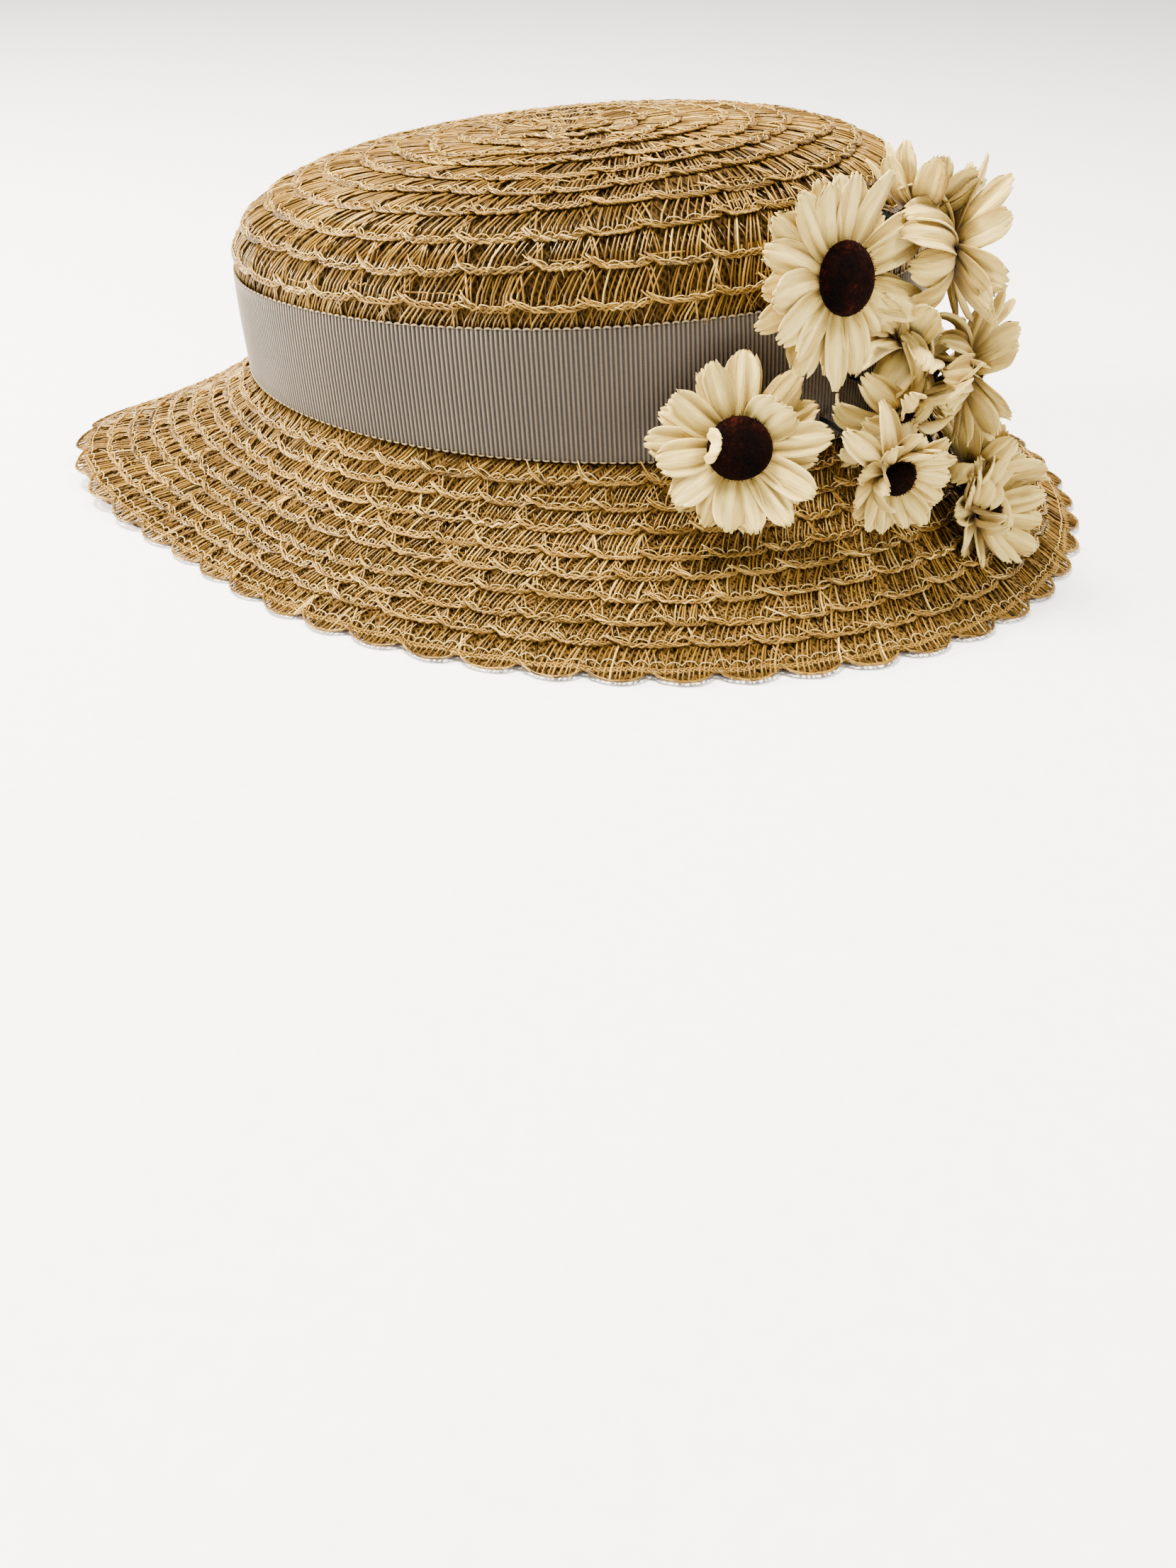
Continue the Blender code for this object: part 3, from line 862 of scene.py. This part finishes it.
    def rope(self, row: BraidRow, strands: StrandSet) -> None:
        """Plait three strands along each scallop's edge, from over its notch to under the next one."""
        s = even(11)
        first = np.arange(row.count)[:, None]
        local = s + np.zeros_like(first) if row.rim else -0.09 + 1.15 * s + 0.0 * first
        wind = 2 * math.pi * self.pitch_of(row) * 1.15 / self.plait * s
        wind = wind + self.rng.uniform(0.0, 2 * math.pi, (row.count, 1))
        window = np.clip(np.minimum(s / 0.14, (1.0 - s) / 0.16), 0.3, 1.0)
        edge = self.arc(row, local) + self.wander(row, first + local) - 0.35 * MM
        rise = row.step + 0.40 * MM + 0.35 * MM * np.clip(1.0 - s / 0.22, 0.0, 1.0)
        rise = rise - 0.5 * MM * np.clip((s - 0.84) / 0.16, 0.0, 1.0)
        reach = self.rope_reach * (0.6 if row.rim else 1.0)
        for side in PLAIT_PHASES:
            out = edge + reach * window * np.sin(wind + side)
            lift = rise + 0.26 * MM * window * np.sin(2.0 * (wind + side))
            points = self.lay(row, first + local, 1.0, out, lift)
            radius = self.rope_radius * (0.55 + 0.45 * window) * self.rng.uniform(0.8, 1.15, (row.count, 1))
            strands.add(points, radius, self.tones(0.42, 0.20, row.count))

    def stitching(self, row: BraidRow, strands: StrandSet) -> None:
        """Lay the pale straw that hops in and out of the braid just inside its rope."""
        hops, points_each = row.count * 4, 4
        size = hops * points_each
        place = np.arange(size) / size * row.count
        hop = np.sin(math.pi * (np.arange(size) % points_each) / points_each) ** 0.6
        hop *= np.repeat(self.rng.uniform(0.55, 1.2, hops), points_each)
        inner = self.wander(row, place) - 0.4 * MM if row.rim else self.edge(row, place)
        out = inner - 0.85 * MM - 1.25 * row.hop * hop + self.rng.normal(0.0, 0.10 * MM, size)
        lift = row.step + 0.30 * MM + 0.60 * MM * hop
        points = self.lay(row, place, 1.0, out, lift)[None]
        strands.add(points, self.thread_radius, np.array([0.6]), closed=True)

    def rim_line(self, row: BraidRow, strands: StrandSet) -> None:
        """Plait the line along the foot of the rim's scallops."""
        turns = round(row.count * self.pitch_of(row) / self.plait)
        size = turns * 7
        place = np.arange(size) / size * row.count
        wind = np.arange(size) / size * turns * 2 * math.pi
        for side in PLAIT_PHASES:
            out = 0.55 * MM * np.sin(wind + side) + 0.3 * MM * np.sin(2 * math.pi * place)
            lift = row.step * 0.8 + 0.45 * MM + 0.22 * MM * np.sin(2.0 * (wind + side))
            points = self.lay(row, place, 1.0, out, lift)[None]
            strands.add(points, self.rope_radius * 0.85, np.array([0.5]), closed=True)

    def wisps(self, row: BraidRow, strands: StrandSet) -> None:
        """Lay the fine loose fibres that stand out of the ropes."""
        total = max(2, round(row.count * 0.8))
        t = even(4)
        first = self.rng.uniform(0.0, row.count, (total, 1))
        along = self.rng.normal(0.0, 2.6 * MM, (total, 1)) / self.pitch_of(row)
        turn = first + along * t
        out = self.edge(row, first) - 0.4 * MM + self.rng.normal(0.0, 1.5 * MM, (total, 1)) * t**1.5
        lift = row.step + 0.7 * MM + self.rng.uniform(0.1, 1.2, (total, 1)) * MM * np.sin(math.pi * t * 0.75)
        points = self.lay(row, turn, 1.0, out, lift)
        strands.add(points, self.wisp_radius * (1.0 - 0.6 * t), self.tones(0.8, 0.1, total))

    def ground_profile(self, rows: list[BraidRow], part: Part) -> list[tuple[float, float]]:
        """Return the under-layer's section as shares and heights: out along its rows, and back."""
        lap, tuck, low, back, lowest = (v * MM for v in (0.55, -0.1, -1.3, -1.6, -1.9))
        if part is Part.BRIM:
            profile = []
            for row in rows:
                profile += [(row.start, tuck), (row.between(0.93), lap)]
            profile[-1:] = [(0.985, 0.1 * MM), (0.99, -0.6 * MM), (0.985, back)]
            for row in reversed(rows):
                profile += [(row.between(0.90), lowest), (row.between(0.05), low)]
            profile.append((0.0, back))
        else:
            profile = [(0.0, back), (0.0, 0.0)]
            for row in rows:
                profile += [(row.between(0.93), 0.0 if row.hidden else lap), (row.start, tuck)]
            profile[-1:] = [(0.9995, 0.0), (0.9995, back)]
            for row in reversed(rows[1:]):
                profile += [(row.between(0.05), lowest), (row.between(0.90), low)]
        profile.append(profile[0])
        return profile

    def ground(self, name: str, rows: list[BraidRow], part: Part) -> bpy.types.Object:
        """Build the closed under-layer of lapped rows that lies below the straws.

        Args:
            name: the piece's name.
            rows: the part's braid rows.
            part: crown or brim.

        Returns:
            The piece, which stands for the part's CAD node.
        """
        table = np.array(self.ground_profile(rows, part))
        strip = Strip(self.ground_columns, table[:, 0], self.shape.girth(part, 0.3), self.ground_depth)
        share, height = table[strip.rank].T
        out, least = 0.0, 0.0
        if part is Part.BRIM:
            # its edge follows the rim's scallops, and stays a thin layer where it lies on the floor
            local = np.mod(strip.azimuth / (2 * math.pi) * self.rim_count, 1.0)
            out = np.where(share > 0.98, 0.88 * self.arc(rows[-1], local), 0.0)
            least = np.interp(height, [-1.6 * MM, 0.1 * MM], [0.0, 0.5 * MM])
        points = self.shape.place(part, strip.azimuth, share, out, height)
        points[:, 2] = np.maximum(points[:, 2], least)
        mesh = strip.close(name, points, seam=0.03 * MM)
        finish = BRIM_GROUND if part is Part.BRIM else CROWN_GROUND
        return finish_piece(name, mesh, finish.make())

    def dress(self, name: str, rows: list[BraidRow], materials: dict) -> None:
        """Build the straws, rope and stitching of some rows as pieces.

        Args:
            name: start of the pieces' names.
            rows: the rows.
            materials: the straw, rope and thread materials.
        """
        straws, ropes, threads = (StrandSet(f"{name}_{kind}") for kind in ("straws", "rope", "stitching"))
        for row in rows:
            self.straw_layer(row, straws)
            self.ladder_straws(row, straws)
            if row.hidden:
                continue
            if row.rim:
                self.rim_line(row, ropes)
            else:
                self.cross_straws(row, straws)
                self.notch_straws(row, ropes)
            self.rope(row, ropes)
            self.stitching(row, threads)
            self.wisps(row, threads)
        for strands, kind in ((straws, "straw"), (ropes, "rope"), (threads, "thread")):
            finish_piece(strands.name, strands.mesh(), materials[kind])

    def build(self) -> None:
        """Build the crown's and the brim's braid."""
        brim, crown = self.make_rows()
        materials = {"straw": TOP_STRAW.make(), "rope": ROPE_STRAW.make(), "thread": STITCH_THREAD.make()}
        brim_ground = self.ground("brim_ground", brim, Part.BRIM)
        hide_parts("brim")
        crown_ground = self.ground("crown_ground", crown, Part.CROWN)
        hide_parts("crown")
        for number, group in enumerate((brim[:3], brim[3:6], brim[6:]), start=1):
            self.dress(f"brim_braid_{number}", group, materials)
        for number, group in enumerate((crown[:4], crown[4:8], crown[8:]), start=1):
            self.dress(f"crown_braid_{number}", group, materials)


@dataclass
class HatBand:
    """Grosgrain ribbon with picot edges, drawn tight round the crown's foot."""

    shape: HatShape
    height: float = RIBBON_HEIGHT
    margin: float = 0.45 * MM
    thickness: float = 0.9 * MM
    rib_pitch: float = 1.05 * MM
    rib_depth: float = 0.46 * MM
    picot: float = 0.35 * MM
    picot_radius: float = 0.27 * MM

    def lift_of(self, azimuth: np.ndarray, level: np.ndarray) -> np.ndarray:
        """Return how far the ribbon's inner face stands off the crown, in metres.

        Args:
            azimuth: azimuths in radians.
            level: 0 at the ribbon's lower edge, 1 at its upper edge.

        Returns:
            The stand-off, which wavers softly and grows a little towards the upper edge.
        """
        waver = np.sin(7 * azimuth + 1.0) + np.sin(11 * azimuth + 2.2) * np.cos(3 * level)
        return self.shape.seat_gap + (0.16 * waver * level + 0.15 + 0.22 * level**3) * MM

    def height_at(self, level: float | np.ndarray) -> float | np.ndarray:
        """Return the height over the crown's foot of a level of the ribbon, in metres."""
        return self.shape.seat_gap + self.margin + level * (self.height - 2 * self.margin)

    def build_ribbon(self, ribs: int, girth: float) -> bpy.types.Mesh:
        """Return the ribbon's mesh: a closed strip with a rounded rib and a narrow gap for each cord.

        Args:
            ribs: ribs round the hat.
            girth: the ribbon's length in metres.

        Returns:
            The mesh, with a UV map in metres and painted shade as its tone: each point's height over the gap,
            less on the edges and none on the back.
        """
        section = np.array([0.0, 0.25, 0.9, 1.0, 0.9, 0.25])
        columns = ribs * len(section)
        levels = np.array([0.0, 0.014, 0.12, 0.5, 0.88, 0.986, 1.0, 1.0, 0.5, 0.0, 0.0])
        outer = np.array([0.45, 1.0, 1.0, 1.0, 1.0, 1.0, 0.45, 0.0, 0.0, 0.0, 0.45])
        strip = Strip(columns, levels, girth, self.height)
        level, side = levels[strip.rank], outer[strip.rank]
        rib = section[strip.column % len(section)]
        share = self.shape.share_at_height(self.height_at(level))
        lift = self.lift_of(strip.azimuth, level)
        lift = lift + side * (self.thickness - 0.3 * MM + self.rib_depth * (rib - 0.8))
        points = self.shape.place(Part.CROWN, strip.azimuth, share, 0.0, lift)
        # painted shade: the tone is darkest between the ribs, on the edges and on the back that faces the
        # crown
        tone_layer = strip.bm.verts.layers.float.new("tone")
        for vert, value in zip(strip.bm.verts, 0.66 * rib * side):
            vert[tone_layer] = float(value)
        return strip.close("grosgrain_ribbon", points, seam=0.005 * MM)

    def build_picots(self, ribs: int) -> bpy.types.Mesh:
        """Return the little loops that join each pair of ribs at both of the ribbon's edges."""
        loops = StrandSet("ribbon_picots")
        pair = np.arange(ribs // 2)[:, None]
        turn = np.linspace(0.0, math.pi, 6)[None, :]
        azimuth = 2 * math.pi * (2 * pair + 1.0 - 0.62 * np.cos(turn)) / ribs
        for level, sign in ((0.0, -1.0), (1.0, 1.0)):
            up = self.height_at(level) + sign * (self.picot * np.sin(turn) ** 0.7 - 0.15 * MM)
            share = self.shape.share_at_height(up)
            lift = self.lift_of(azimuth, np.full_like(azimuth, level)) + self.thickness - 0.42 * MM
            points = self.shape.place(Part.CROWN, azimuth, share, 0.0, lift)
            loops.add(points, self.picot_radius, np.full(len(pair), 0.6))
        return loops.mesh()

    def build(self) -> None:
        girth = self.shape.girth(Part.CROWN, 0.1)
        ribs = 2 * round(girth / self.rib_pitch / 2)
        mesh = self.build_ribbon(ribs, girth)
        ribbon = finish_piece("grosgrain_ribbon", mesh, GrosgrainFinish().make())
        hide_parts("hat_band")
        picots = finish_piece("ribbon_picots", self.build_picots(ribs), PICOT_THREAD.make())


@dataclass(frozen=True)
class Fold:
    """A run of a daisy's petals that is bent otherwise than the rest."""

    angle: float
    spread: float
    cup: float = 0.0
    curl: float = 0.0
    twist: float = 0.0
    length: float = 1.0
    layer: int = 0


@dataclass(frozen=True)
class Daisy:
    """One daisy's place on the hat, as in the CAD source, and how its petals are bent."""

    azimuth: float
    off: float
    height: float
    face: float
    tilt: float
    cup: float
    length: float
    hub: float
    petals: int
    crumple: float
    curl: float = -12.0
    folds: tuple[Fold, ...] = ()


DAISIES = (
    Daisy(-56.0, 0.80, 1.43, -52, 12, 12, 1.00, 0.95, 14, 1.15, -12, (
        Fold(-42, 16, 20, -110, 30, 1.05), Fold(-70, 10, 4, -30, 10, 1.0), Fold(20, 50, 2, -6, 4, 1.22))),
    Daisy(-67.6, 0.75, 0.27, -84, 24, 14, 0.93, 0.92, 13, 1.20, -8, (
        Fold(45, 36, 34, -6, 22, 0.62), Fold(178, 12, 106, -16, 4, 0.90))),
    Daisy(-49.2, 1.50, 0.08, -62, -14, 56, 0.66, 0.55, 13, 1.2, -26, (
        Fold(125, 18, -42, -30, 30, 1.6), Fold(185, 34, 20, 44, 34, 0.9))),
    Daisy(-29.6, 1.60, -0.54, -46, 26, 52, 0.84, 0.50, 12, 1.2, -24, (
        Fold(200, 34, 26, 40, 40, 0.85), Fold(95, 30, 20, -30, 20, 1.05))),
    Daisy(-25.0, 1.20, -0.34, 30, 50, 58, 1.00, 0.50, 12, 1.2, -36, (
        Fold(180, 80, -40, -50, 20, 1.0, 1),)),
    Daisy(-43.0, 0.85, 0.44, -18, -40, 50, 1.05, 0.50, 12, 1.4, -60, (
        Fold(180, 36, -16, -40, 24, 1.0), Fold(180, 90, -50, -50, 16, 1.05, 1))),
    Daisy(-34.6, 1.20, 0.63, 8, -2, 46, 0.98, 0.50, 12, 1.2, -30, (
        Fold(180, 90, -40, -60, 16, 1.05, 1),)),
    Daisy(-40.8, 0.62, 0.79, 22, 52, 50, 1.14, 0.50, 13, 1.4, -50, (
        Fold(180, 36, -18, -40, 24, 1.0), Fold(180, 90, -50, -60, 16, 1.0, 1))),
    Daisy(-36.9, 0.85, 1.50, 4, 4, 44, 1.02, 0.50, 13, 1.1, -24, (
        Fold(180, 100, -50, -66, 10, 1.15, 1),)),
    Daisy(-38.9, 0.42, 1.75, 50, 66, 68, 0.80, 0.50, 9, 1.1, -20),
)


@dataclass
class DaisySpray:
    """Ten cloth daisies wired to the ribbon at the hat's front right."""

    shape: HatShape
    petal_length: float = 18.0 * MM
    petal_width: float = 8.8 * MM
    cloth: float = 0.28 * MM
    root_radius: float = 5.4 * MM
    hub_radius: float = 7.0 * MM
    band_height: float = RIBBON_HEIGHT
    band_thickness: float = 1.0 * MM
    centre_radius: float = 8.2 * MM
    centre_height: float = 5.6 * MM
    stem_radius: float = 0.55 * MM
    stem_lowest: float = 0.2
    stem_highest: float = 1.45
    stem_points: int = 15
    midline_steps: int = 40
    back_lean: float = 15.0
    dome_sink: float = 0.35
    pile_hairs: int = 160
    seed: int = 5

    def frame_of(self, daisy: Daisy) -> tuple[Vector, Vector, Vector, Vector]:
        """Return a daisy's middle, the way it faces and two directions across its face."""
        azimuth = np.array(math.radians(daisy.azimuth))
        foot, normal = self.shape.foot(azimuth)
        stand = self.band_thickness + self.shape.seat_gap + daisy.off * self.petal_length
        middle = Vector(foot) + Vector(normal) * stand
        middle.z = self.shape.join + daisy.height * self.band_height
        face, tilt = math.radians(daisy.face), math.radians(daisy.tilt)
        facing = Vector((math.cos(face) * math.cos(tilt), math.sin(face) * math.cos(tilt), math.sin(tilt)))
        across = Vector((0.0, 0.0, 1.0)).cross(facing).normalized()
        return middle, facing, across, facing.cross(across)

    def petal_curve(self, cup: float, curl: float, length: float) -> tuple[list[float], ...]:
        """Return a petal's midline: heading, run and rise at even steps from root to tip.

        Args:
            cup: degrees that the petal leans forward.
            curl: degrees that its tip is bent further, less than 0 backward.
            length: the petal's length in metres.

        Returns:
            Headings in radians, and runs and rises in metres.
        """
        steps = self.midline_steps
        places = [i / steps for i in range(steps + 1)]
        heading = [math.radians(cup * min(1.0, 0.35 + t) + curl * t**1.6) for t in places]
        run, rise = [0.0], [0.0]
        for i in range(steps):
            run.append(run[-1] + math.cos(heading[i]) * length / steps)
            rise.append(rise[-1] + math.sin(heading[i]) * length / steps)
        return heading, run, rise

    def petal(self, bm: bmesh.types.BMesh, layers: tuple, daisy: Daisy, angle: float, layer: int,
              rng: random.Random) -> None:
        """Shape one petal from a grid: a broad blunt blade with pressed ridges, cupped and curled.

        Args:
            bm: the daisy's mesh in the making.
            layers: its UV and tone layers.
            daisy: the daisy's row.
            angle: where the petal stands round the face, in degrees.
            layer: 0 for the front whorl, 1 for the one behind.
            rng: seeded random numbers.
        """
        middle, facing, across, up = self.frame_of(daisy)
        uv_layer, tone_layer = layers
        jolt = daisy.crumple
        cup = daisy.cup + rng.gauss(0.0, 4.5) * jolt - self.back_lean * layer
        curl = daisy.curl + rng.gauss(0.0, 9.0) * jolt
        twist = rng.gauss(0.0, 8.0) * jolt
        length = self.petal_length * daisy.length * rng.uniform(0.89, 1.07) * (1.0 - 0.03 * layer)
        width = self.petal_width * (0.35 + 0.65 * daisy.length) * rng.uniform(0.78, 1.04)
        for fold in daisy.folds:
            apart = abs((angle - fold.angle + 180.0) % 360.0 - 180.0)
            if apart < fold.spread and layer == fold.layer:
                cup, curl = cup + fold.cup, curl + fold.curl
                twist, length = twist + fold.twist, length * fold.length
        angle += rng.gauss(0.0, 3.8) * (0.5 + jolt)
        grooves = rng.choice((1.0, 1.5, 1.5, 2.0))
        crease = rng.uniform(0.36, 0.64) * MM
        pleat = rng.uniform(0.14, 0.26) * MM
        trough = rng.uniform(-0.14, 0.12)
        phases = (rng.uniform(0.0, 2 * math.pi), rng.uniform(0.0, 2 * math.pi))
        skew = rng.uniform(-0.06, 0.06)
        heading, run, rise = self.petal_curve(cup, curl, length)
        radial = across * math.cos(math.radians(angle)) + up * math.sin(math.radians(angle))
        tangent = facing.cross(radial)
        made = bmesh.ops.create_grid(bm, x_segments=12, y_segments=10, size=0.5)
        offset = rng.uniform(0.0, 0.1)
        for face in {face for vert in made["verts"] for face in vert.link_faces}:
            for loop in face.loops:
                loop[uv_layer].uv = (loop.vert.co.x * width + offset, loop.vert.co.y * length + offset)
        root = middle + facing * (0.5 * MM - 0.45 * MM * layer)
        stem = self.root_radius * daisy.hub
        for vert in made["verts"]:
            a, t = vert.co.x * 2.0, vert.co.y + 0.5
            body = 0.58 + 0.42 * math.sin(min(1.0, t / 0.55) * math.pi / 2)
            tip = (1.0 - 0.55 * (max(0.0, t - 0.62) / 0.38) ** 2.6) ** 0.7
            half = width / 2 * body * tip
            teeth = 0.034 * math.sin(a * 9.4 + phases[0]) + 0.030 * math.sin(a * 17.0 + phases[1])
            reach = t * (1.0 - 0.10 * a * a * t**3) + teeth * t**9
            spot = min(max(reach, 0.0), 1.0) * (len(heading) - 1)
            i = min(int(spot), len(heading) - 2)
            part = spot - i
            out = run[i] + (run[i + 1] - run[i]) * part
            high = rise[i] + (rise[i + 1] - rise[i]) * part
            lean = heading[i]
            pressed = math.sin(math.pi * min(1.0, 0.12 + t * 0.95)) ** 0.5
            relief = crease * math.cos(a * grooves * math.pi) * pressed
            relief += pleat * math.sin(a * 10.5 + phases[1] + 1.2 * t) * min(1.0, 3.0 * t)
            relief += trough * half * a * a
            turned = math.radians(twist) * t
            sideways = a * half * math.cos(turned) + skew * length * t * t
            relief += a * half * math.sin(turned)
            place = root + radial * (stem + out - math.sin(lean) * relief)
            place += facing * (high + math.cos(lean) * relief) + tangent * sideways
            # painted shade: dark at the root by the centre, lighter where the cloth rises and darker where it
            # sinks, and darker on the back whorl
            vert[tone_layer] = 0.04 + 0.66 * min(1.0, t * 2.0) ** 0.8 + 0.15 * relief / crease - 0.12 * layer
            vert.co = place

    def build_petals(self, name: str, daisy: Daisy, material: bpy.types.Material, rng: random.Random) -> None:
        """Build one daisy's two whorls of petals."""
        bm = bmesh.new()
        layers = (bm.loops.layers.uv.new("UVMap"), bm.verts.layers.float.new("tone"))
        for layer, count in ((1, daisy.petals - 2), (0, daisy.petals)):
            for i in range(count):
                self.petal(bm, layers, daisy, 360.0 * (i + 0.5 * layer) / count + 4.0, layer, rng)
        piece = finish_piece(name + "_cloth", close_mesh(name, bm), material)
        cloth = piece.modifiers.new("cloth thickness", "SOLIDIFY")
        cloth.thickness = self.cloth
        cloth.offset = 0.0
        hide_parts(name)

    def build_centre(self, name: str, daisy: Daisy, material: bpy.types.Material, rng: random.Random) -> None:
        """Build one daisy's velvet button: a dome, uneven as a stuffed one is, with its pile."""
        middle, facing, across, up = self.frame_of(daisy)
        base = middle + facing * 1.0 * MM
        closed = math.cos(math.radians(daisy.cup))
        hub = self.hub_radius * daisy.hub
        radius = min(self.centre_radius * daisy.hub, hub + 0.25 * self.petal_length * closed - 1.0 * MM)
        height = self.centre_height * (0.4 + 0.6 * daisy.hub)
        bm = bmesh.new()
        made = bmesh.ops.create_uvsphere(bm, u_segments=28, v_segments=16, radius=1.0)
        dents = [(rng.uniform(0, 6.3), rng.uniform(2, 4), rng.uniform(0.01, 0.03)) for _ in range(4)]
        for vert in made["verts"]:
            turn = math.atan2(vert.co.y, vert.co.x)
            swell = 1.0 + sum(size * math.sin(turn * math.floor(rate) + start) for start, rate, size in dents)
            high = max(vert.co.z, -self.dome_sink) + self.dome_sink
            place = base + (across * vert.co.x + up * vert.co.y) * radius * swell
            vert.co = place + facing * high * height / (1.0 + self.dome_sink)
        dome = finish_piece(name + "_velvet", close_mesh(name, bm), material)
        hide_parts(name)
        pile = StrandSet(name + "_pile")
        hairs = []
        for _ in range(self.pile_hairs):
            turn, high = rng.uniform(0, 2 * math.pi), rng.uniform(-0.1, 1.0)
            flat = math.sqrt(1 - min(high * high, 1.0))
            side = (across * math.cos(turn) + up * math.sin(turn)) * flat
            foot = base + side * radius * 0.98
            foot += facing * (high + self.dome_sink) * height / (1.0 + self.dome_sink)
            lean = Vector([rng.gauss(0, 0.35) for _ in range(3)])
            way = (side + facing * high + lean).normalized()
            hairs.append((foot, foot + way * rng.uniform(0.4, 0.8) * MM))
        points = np.array([[tuple(a), tuple(b)] for a, b in hairs])
        pile.add(points, np.tile([0.10 * MM, 0.04 * MM], (len(hairs), 1)), np.full(len(hairs), 0.5))
        finish_piece(pile.name, pile.mesh(), material)

    def build_stem(self, name: str, daisy: Daisy, material: bpy.types.Material) -> None:
        """Build one daisy's stem: calyx behind the petals and taped wire to its seat on the hat."""
        middle, facing, _, _ = self.frame_of(daisy)
        start = middle - facing * self.shape.seat_gap
        azimuth = np.array(math.radians(daisy.azimuth))
        height = min(max(daisy.height, self.stem_lowest), self.stem_highest)
        share = self.shape.share_at_height(np.array(height * self.band_height))
        stand = 1.6 * MM if height < 1.0 else 1.2 * MM
        seat = Vector(self.shape.place(Part.CROWN, azimuth, share, 0.0, stand))
        wall = (Vector(self.shape.place(Part.CROWN, azimuth, share, 0.0, stand + MM)) - seat).normalized()
        run = 7.0 * MM
        bend = [start, start - facing * run, seat + wall * run, seat]
        route = []
        for i in range(self.stem_points):
            t = i / (self.stem_points - 1)
            weights = ((1 - t) ** 3, 3 * t * (1 - t) ** 2, 3 * t**2 * (1 - t), t**3)
            route.append(sum((point * weight for point, weight in zip(bend, weights)), Vector()))
        strands = StrandSet(name, sides=8)
        radii = np.full(len(route), self.stem_radius)
        radii[:3] = (1.7 * MM, 1.2 * MM, 0.8 * MM)
        radii[3:] *= 1.0 + 0.12 * np.sin(np.arange(len(route) - 3) * 2.1)
        strands.add(np.array([[tuple(p) for p in route]]), radii[None, :], np.array([0.5]))
        piece = finish_piece(name + "_taped", strands.mesh(), material)
        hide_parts(name)

    def build(self) -> None:
        """Build the ten daisies."""
        petal, velvet, wire = PetalFinish().make(), VelvetFinish().make(), WireFinish().make()
        for number, daisy in enumerate(DAISIES, start=1):
            rng = random.Random(self.seed * 100 + number)
            stem = f"daisy_{number:02d}"
            self.build_petals(stem + "_petals", daisy, petal, rng)
            self.build_centre(stem + "_centre", daisy, velvet, rng)
            self.build_stem(stem + "_stem", daisy, wire)


@dataclass
class Studio:
    """Pale floor, soft lights and the camera at the photograph's angle."""

    sensor: float = 36.0
    focal_share: float = 2000 / 2212
    location: tuple[float, float, float] = (0.0253, -0.4035, 0.1633)
    rotation: tuple[float, float, float] = (0.9708, -0.0206, 0.0586)

    def build_camera(self) -> None:
        """Place the camera that was fitted to the photograph."""
        camera = bpy.data.objects.new("camera", bpy.data.cameras.new("camera"))
        camera.data.lens = self.sensor * self.focal_share
        camera.data.sensor_width = self.sensor
        camera.data.clip_start = 0.01
        camera.location = self.location
        camera.rotation_euler = Euler(self.rotation)
        bpy.context.scene.collection.objects.link(camera)
        bpy.context.scene.camera = camera

    def build_floor(self) -> None:
        """Lay the pale floor just under the rim."""
        bm = bmesh.new()
        bmesh.ops.create_grid(bm, x_segments=4, y_segments=4, size=6.0)
        for vert in bm.verts:
            vert.co.z = -0.0002
        mesh = bpy.data.meshes.new("floor")
        bm.to_mesh(mesh)
        bm.free()
        floor = bpy.data.objects.new("floor", mesh)
        mesh.materials.append(FloorFinish().make())
        bpy.context.scene.collection.objects.link(floor)

    def add_area(self, name: str, place: tuple, size: float, power: float, code: str) -> None:
        """Add a soft square light that faces the hat.

        Args:
            name: the light's name.
            place: where it stands, in metres.
            size: its side, in metres.
            power: watts.
            code: its colour in hex.
        """
        light = bpy.data.lights.new(name, "AREA")
        light.size = size
        light.energy = power
        light.color = linear(code)[:3]
        holder = bpy.data.objects.new(name, light)
        holder.location = place
        holder.rotation_euler = (Vector((0, 0, 0.05)) - Vector(place)).to_track_quat("-Z", "Y").to_euler()
        bpy.context.scene.collection.objects.link(holder)

    def build_lights(self) -> None:
        """Light the hat from above and from the picture's left, with a weak fill and a white surround."""
        world = bpy.data.worlds.new("studio")
        world.use_nodes = True
        background = world.node_tree.nodes["Background"]
        background.inputs["Color"].default_value = linear("FFFFFF")
        background.inputs["Strength"].default_value = 1.15
        bpy.context.scene.world = world
        self.add_area("key", (-0.32, 0.0, 1.18), 0.30, 74.0, "FFF6E6")
        self.add_area("window", (-1.05, -0.06, 0.30), 0.30, 58.0, "FFFAF0")
        self.add_area("fill", (0.45, -0.28, 1.05), 0.30, 20.0, "FFF8EC")

    def build(self) -> None:
        """Build the camera, the floor and the lights."""
        self.build_camera()
        self.build_floor()
        self.build_lights()


def main() -> None:
    """Build the studio and the hat's sub-assemblies in order."""
    logging.basicConfig(level=logging.INFO, format="%(name)s: %(message)s")
    shape = HatShape()
    Studio().build()
    StrawBraid(shape).build()
    HatBand(shape).build()
    DaisySpray(shape).build()


if __name__ == "__main__":
    main()
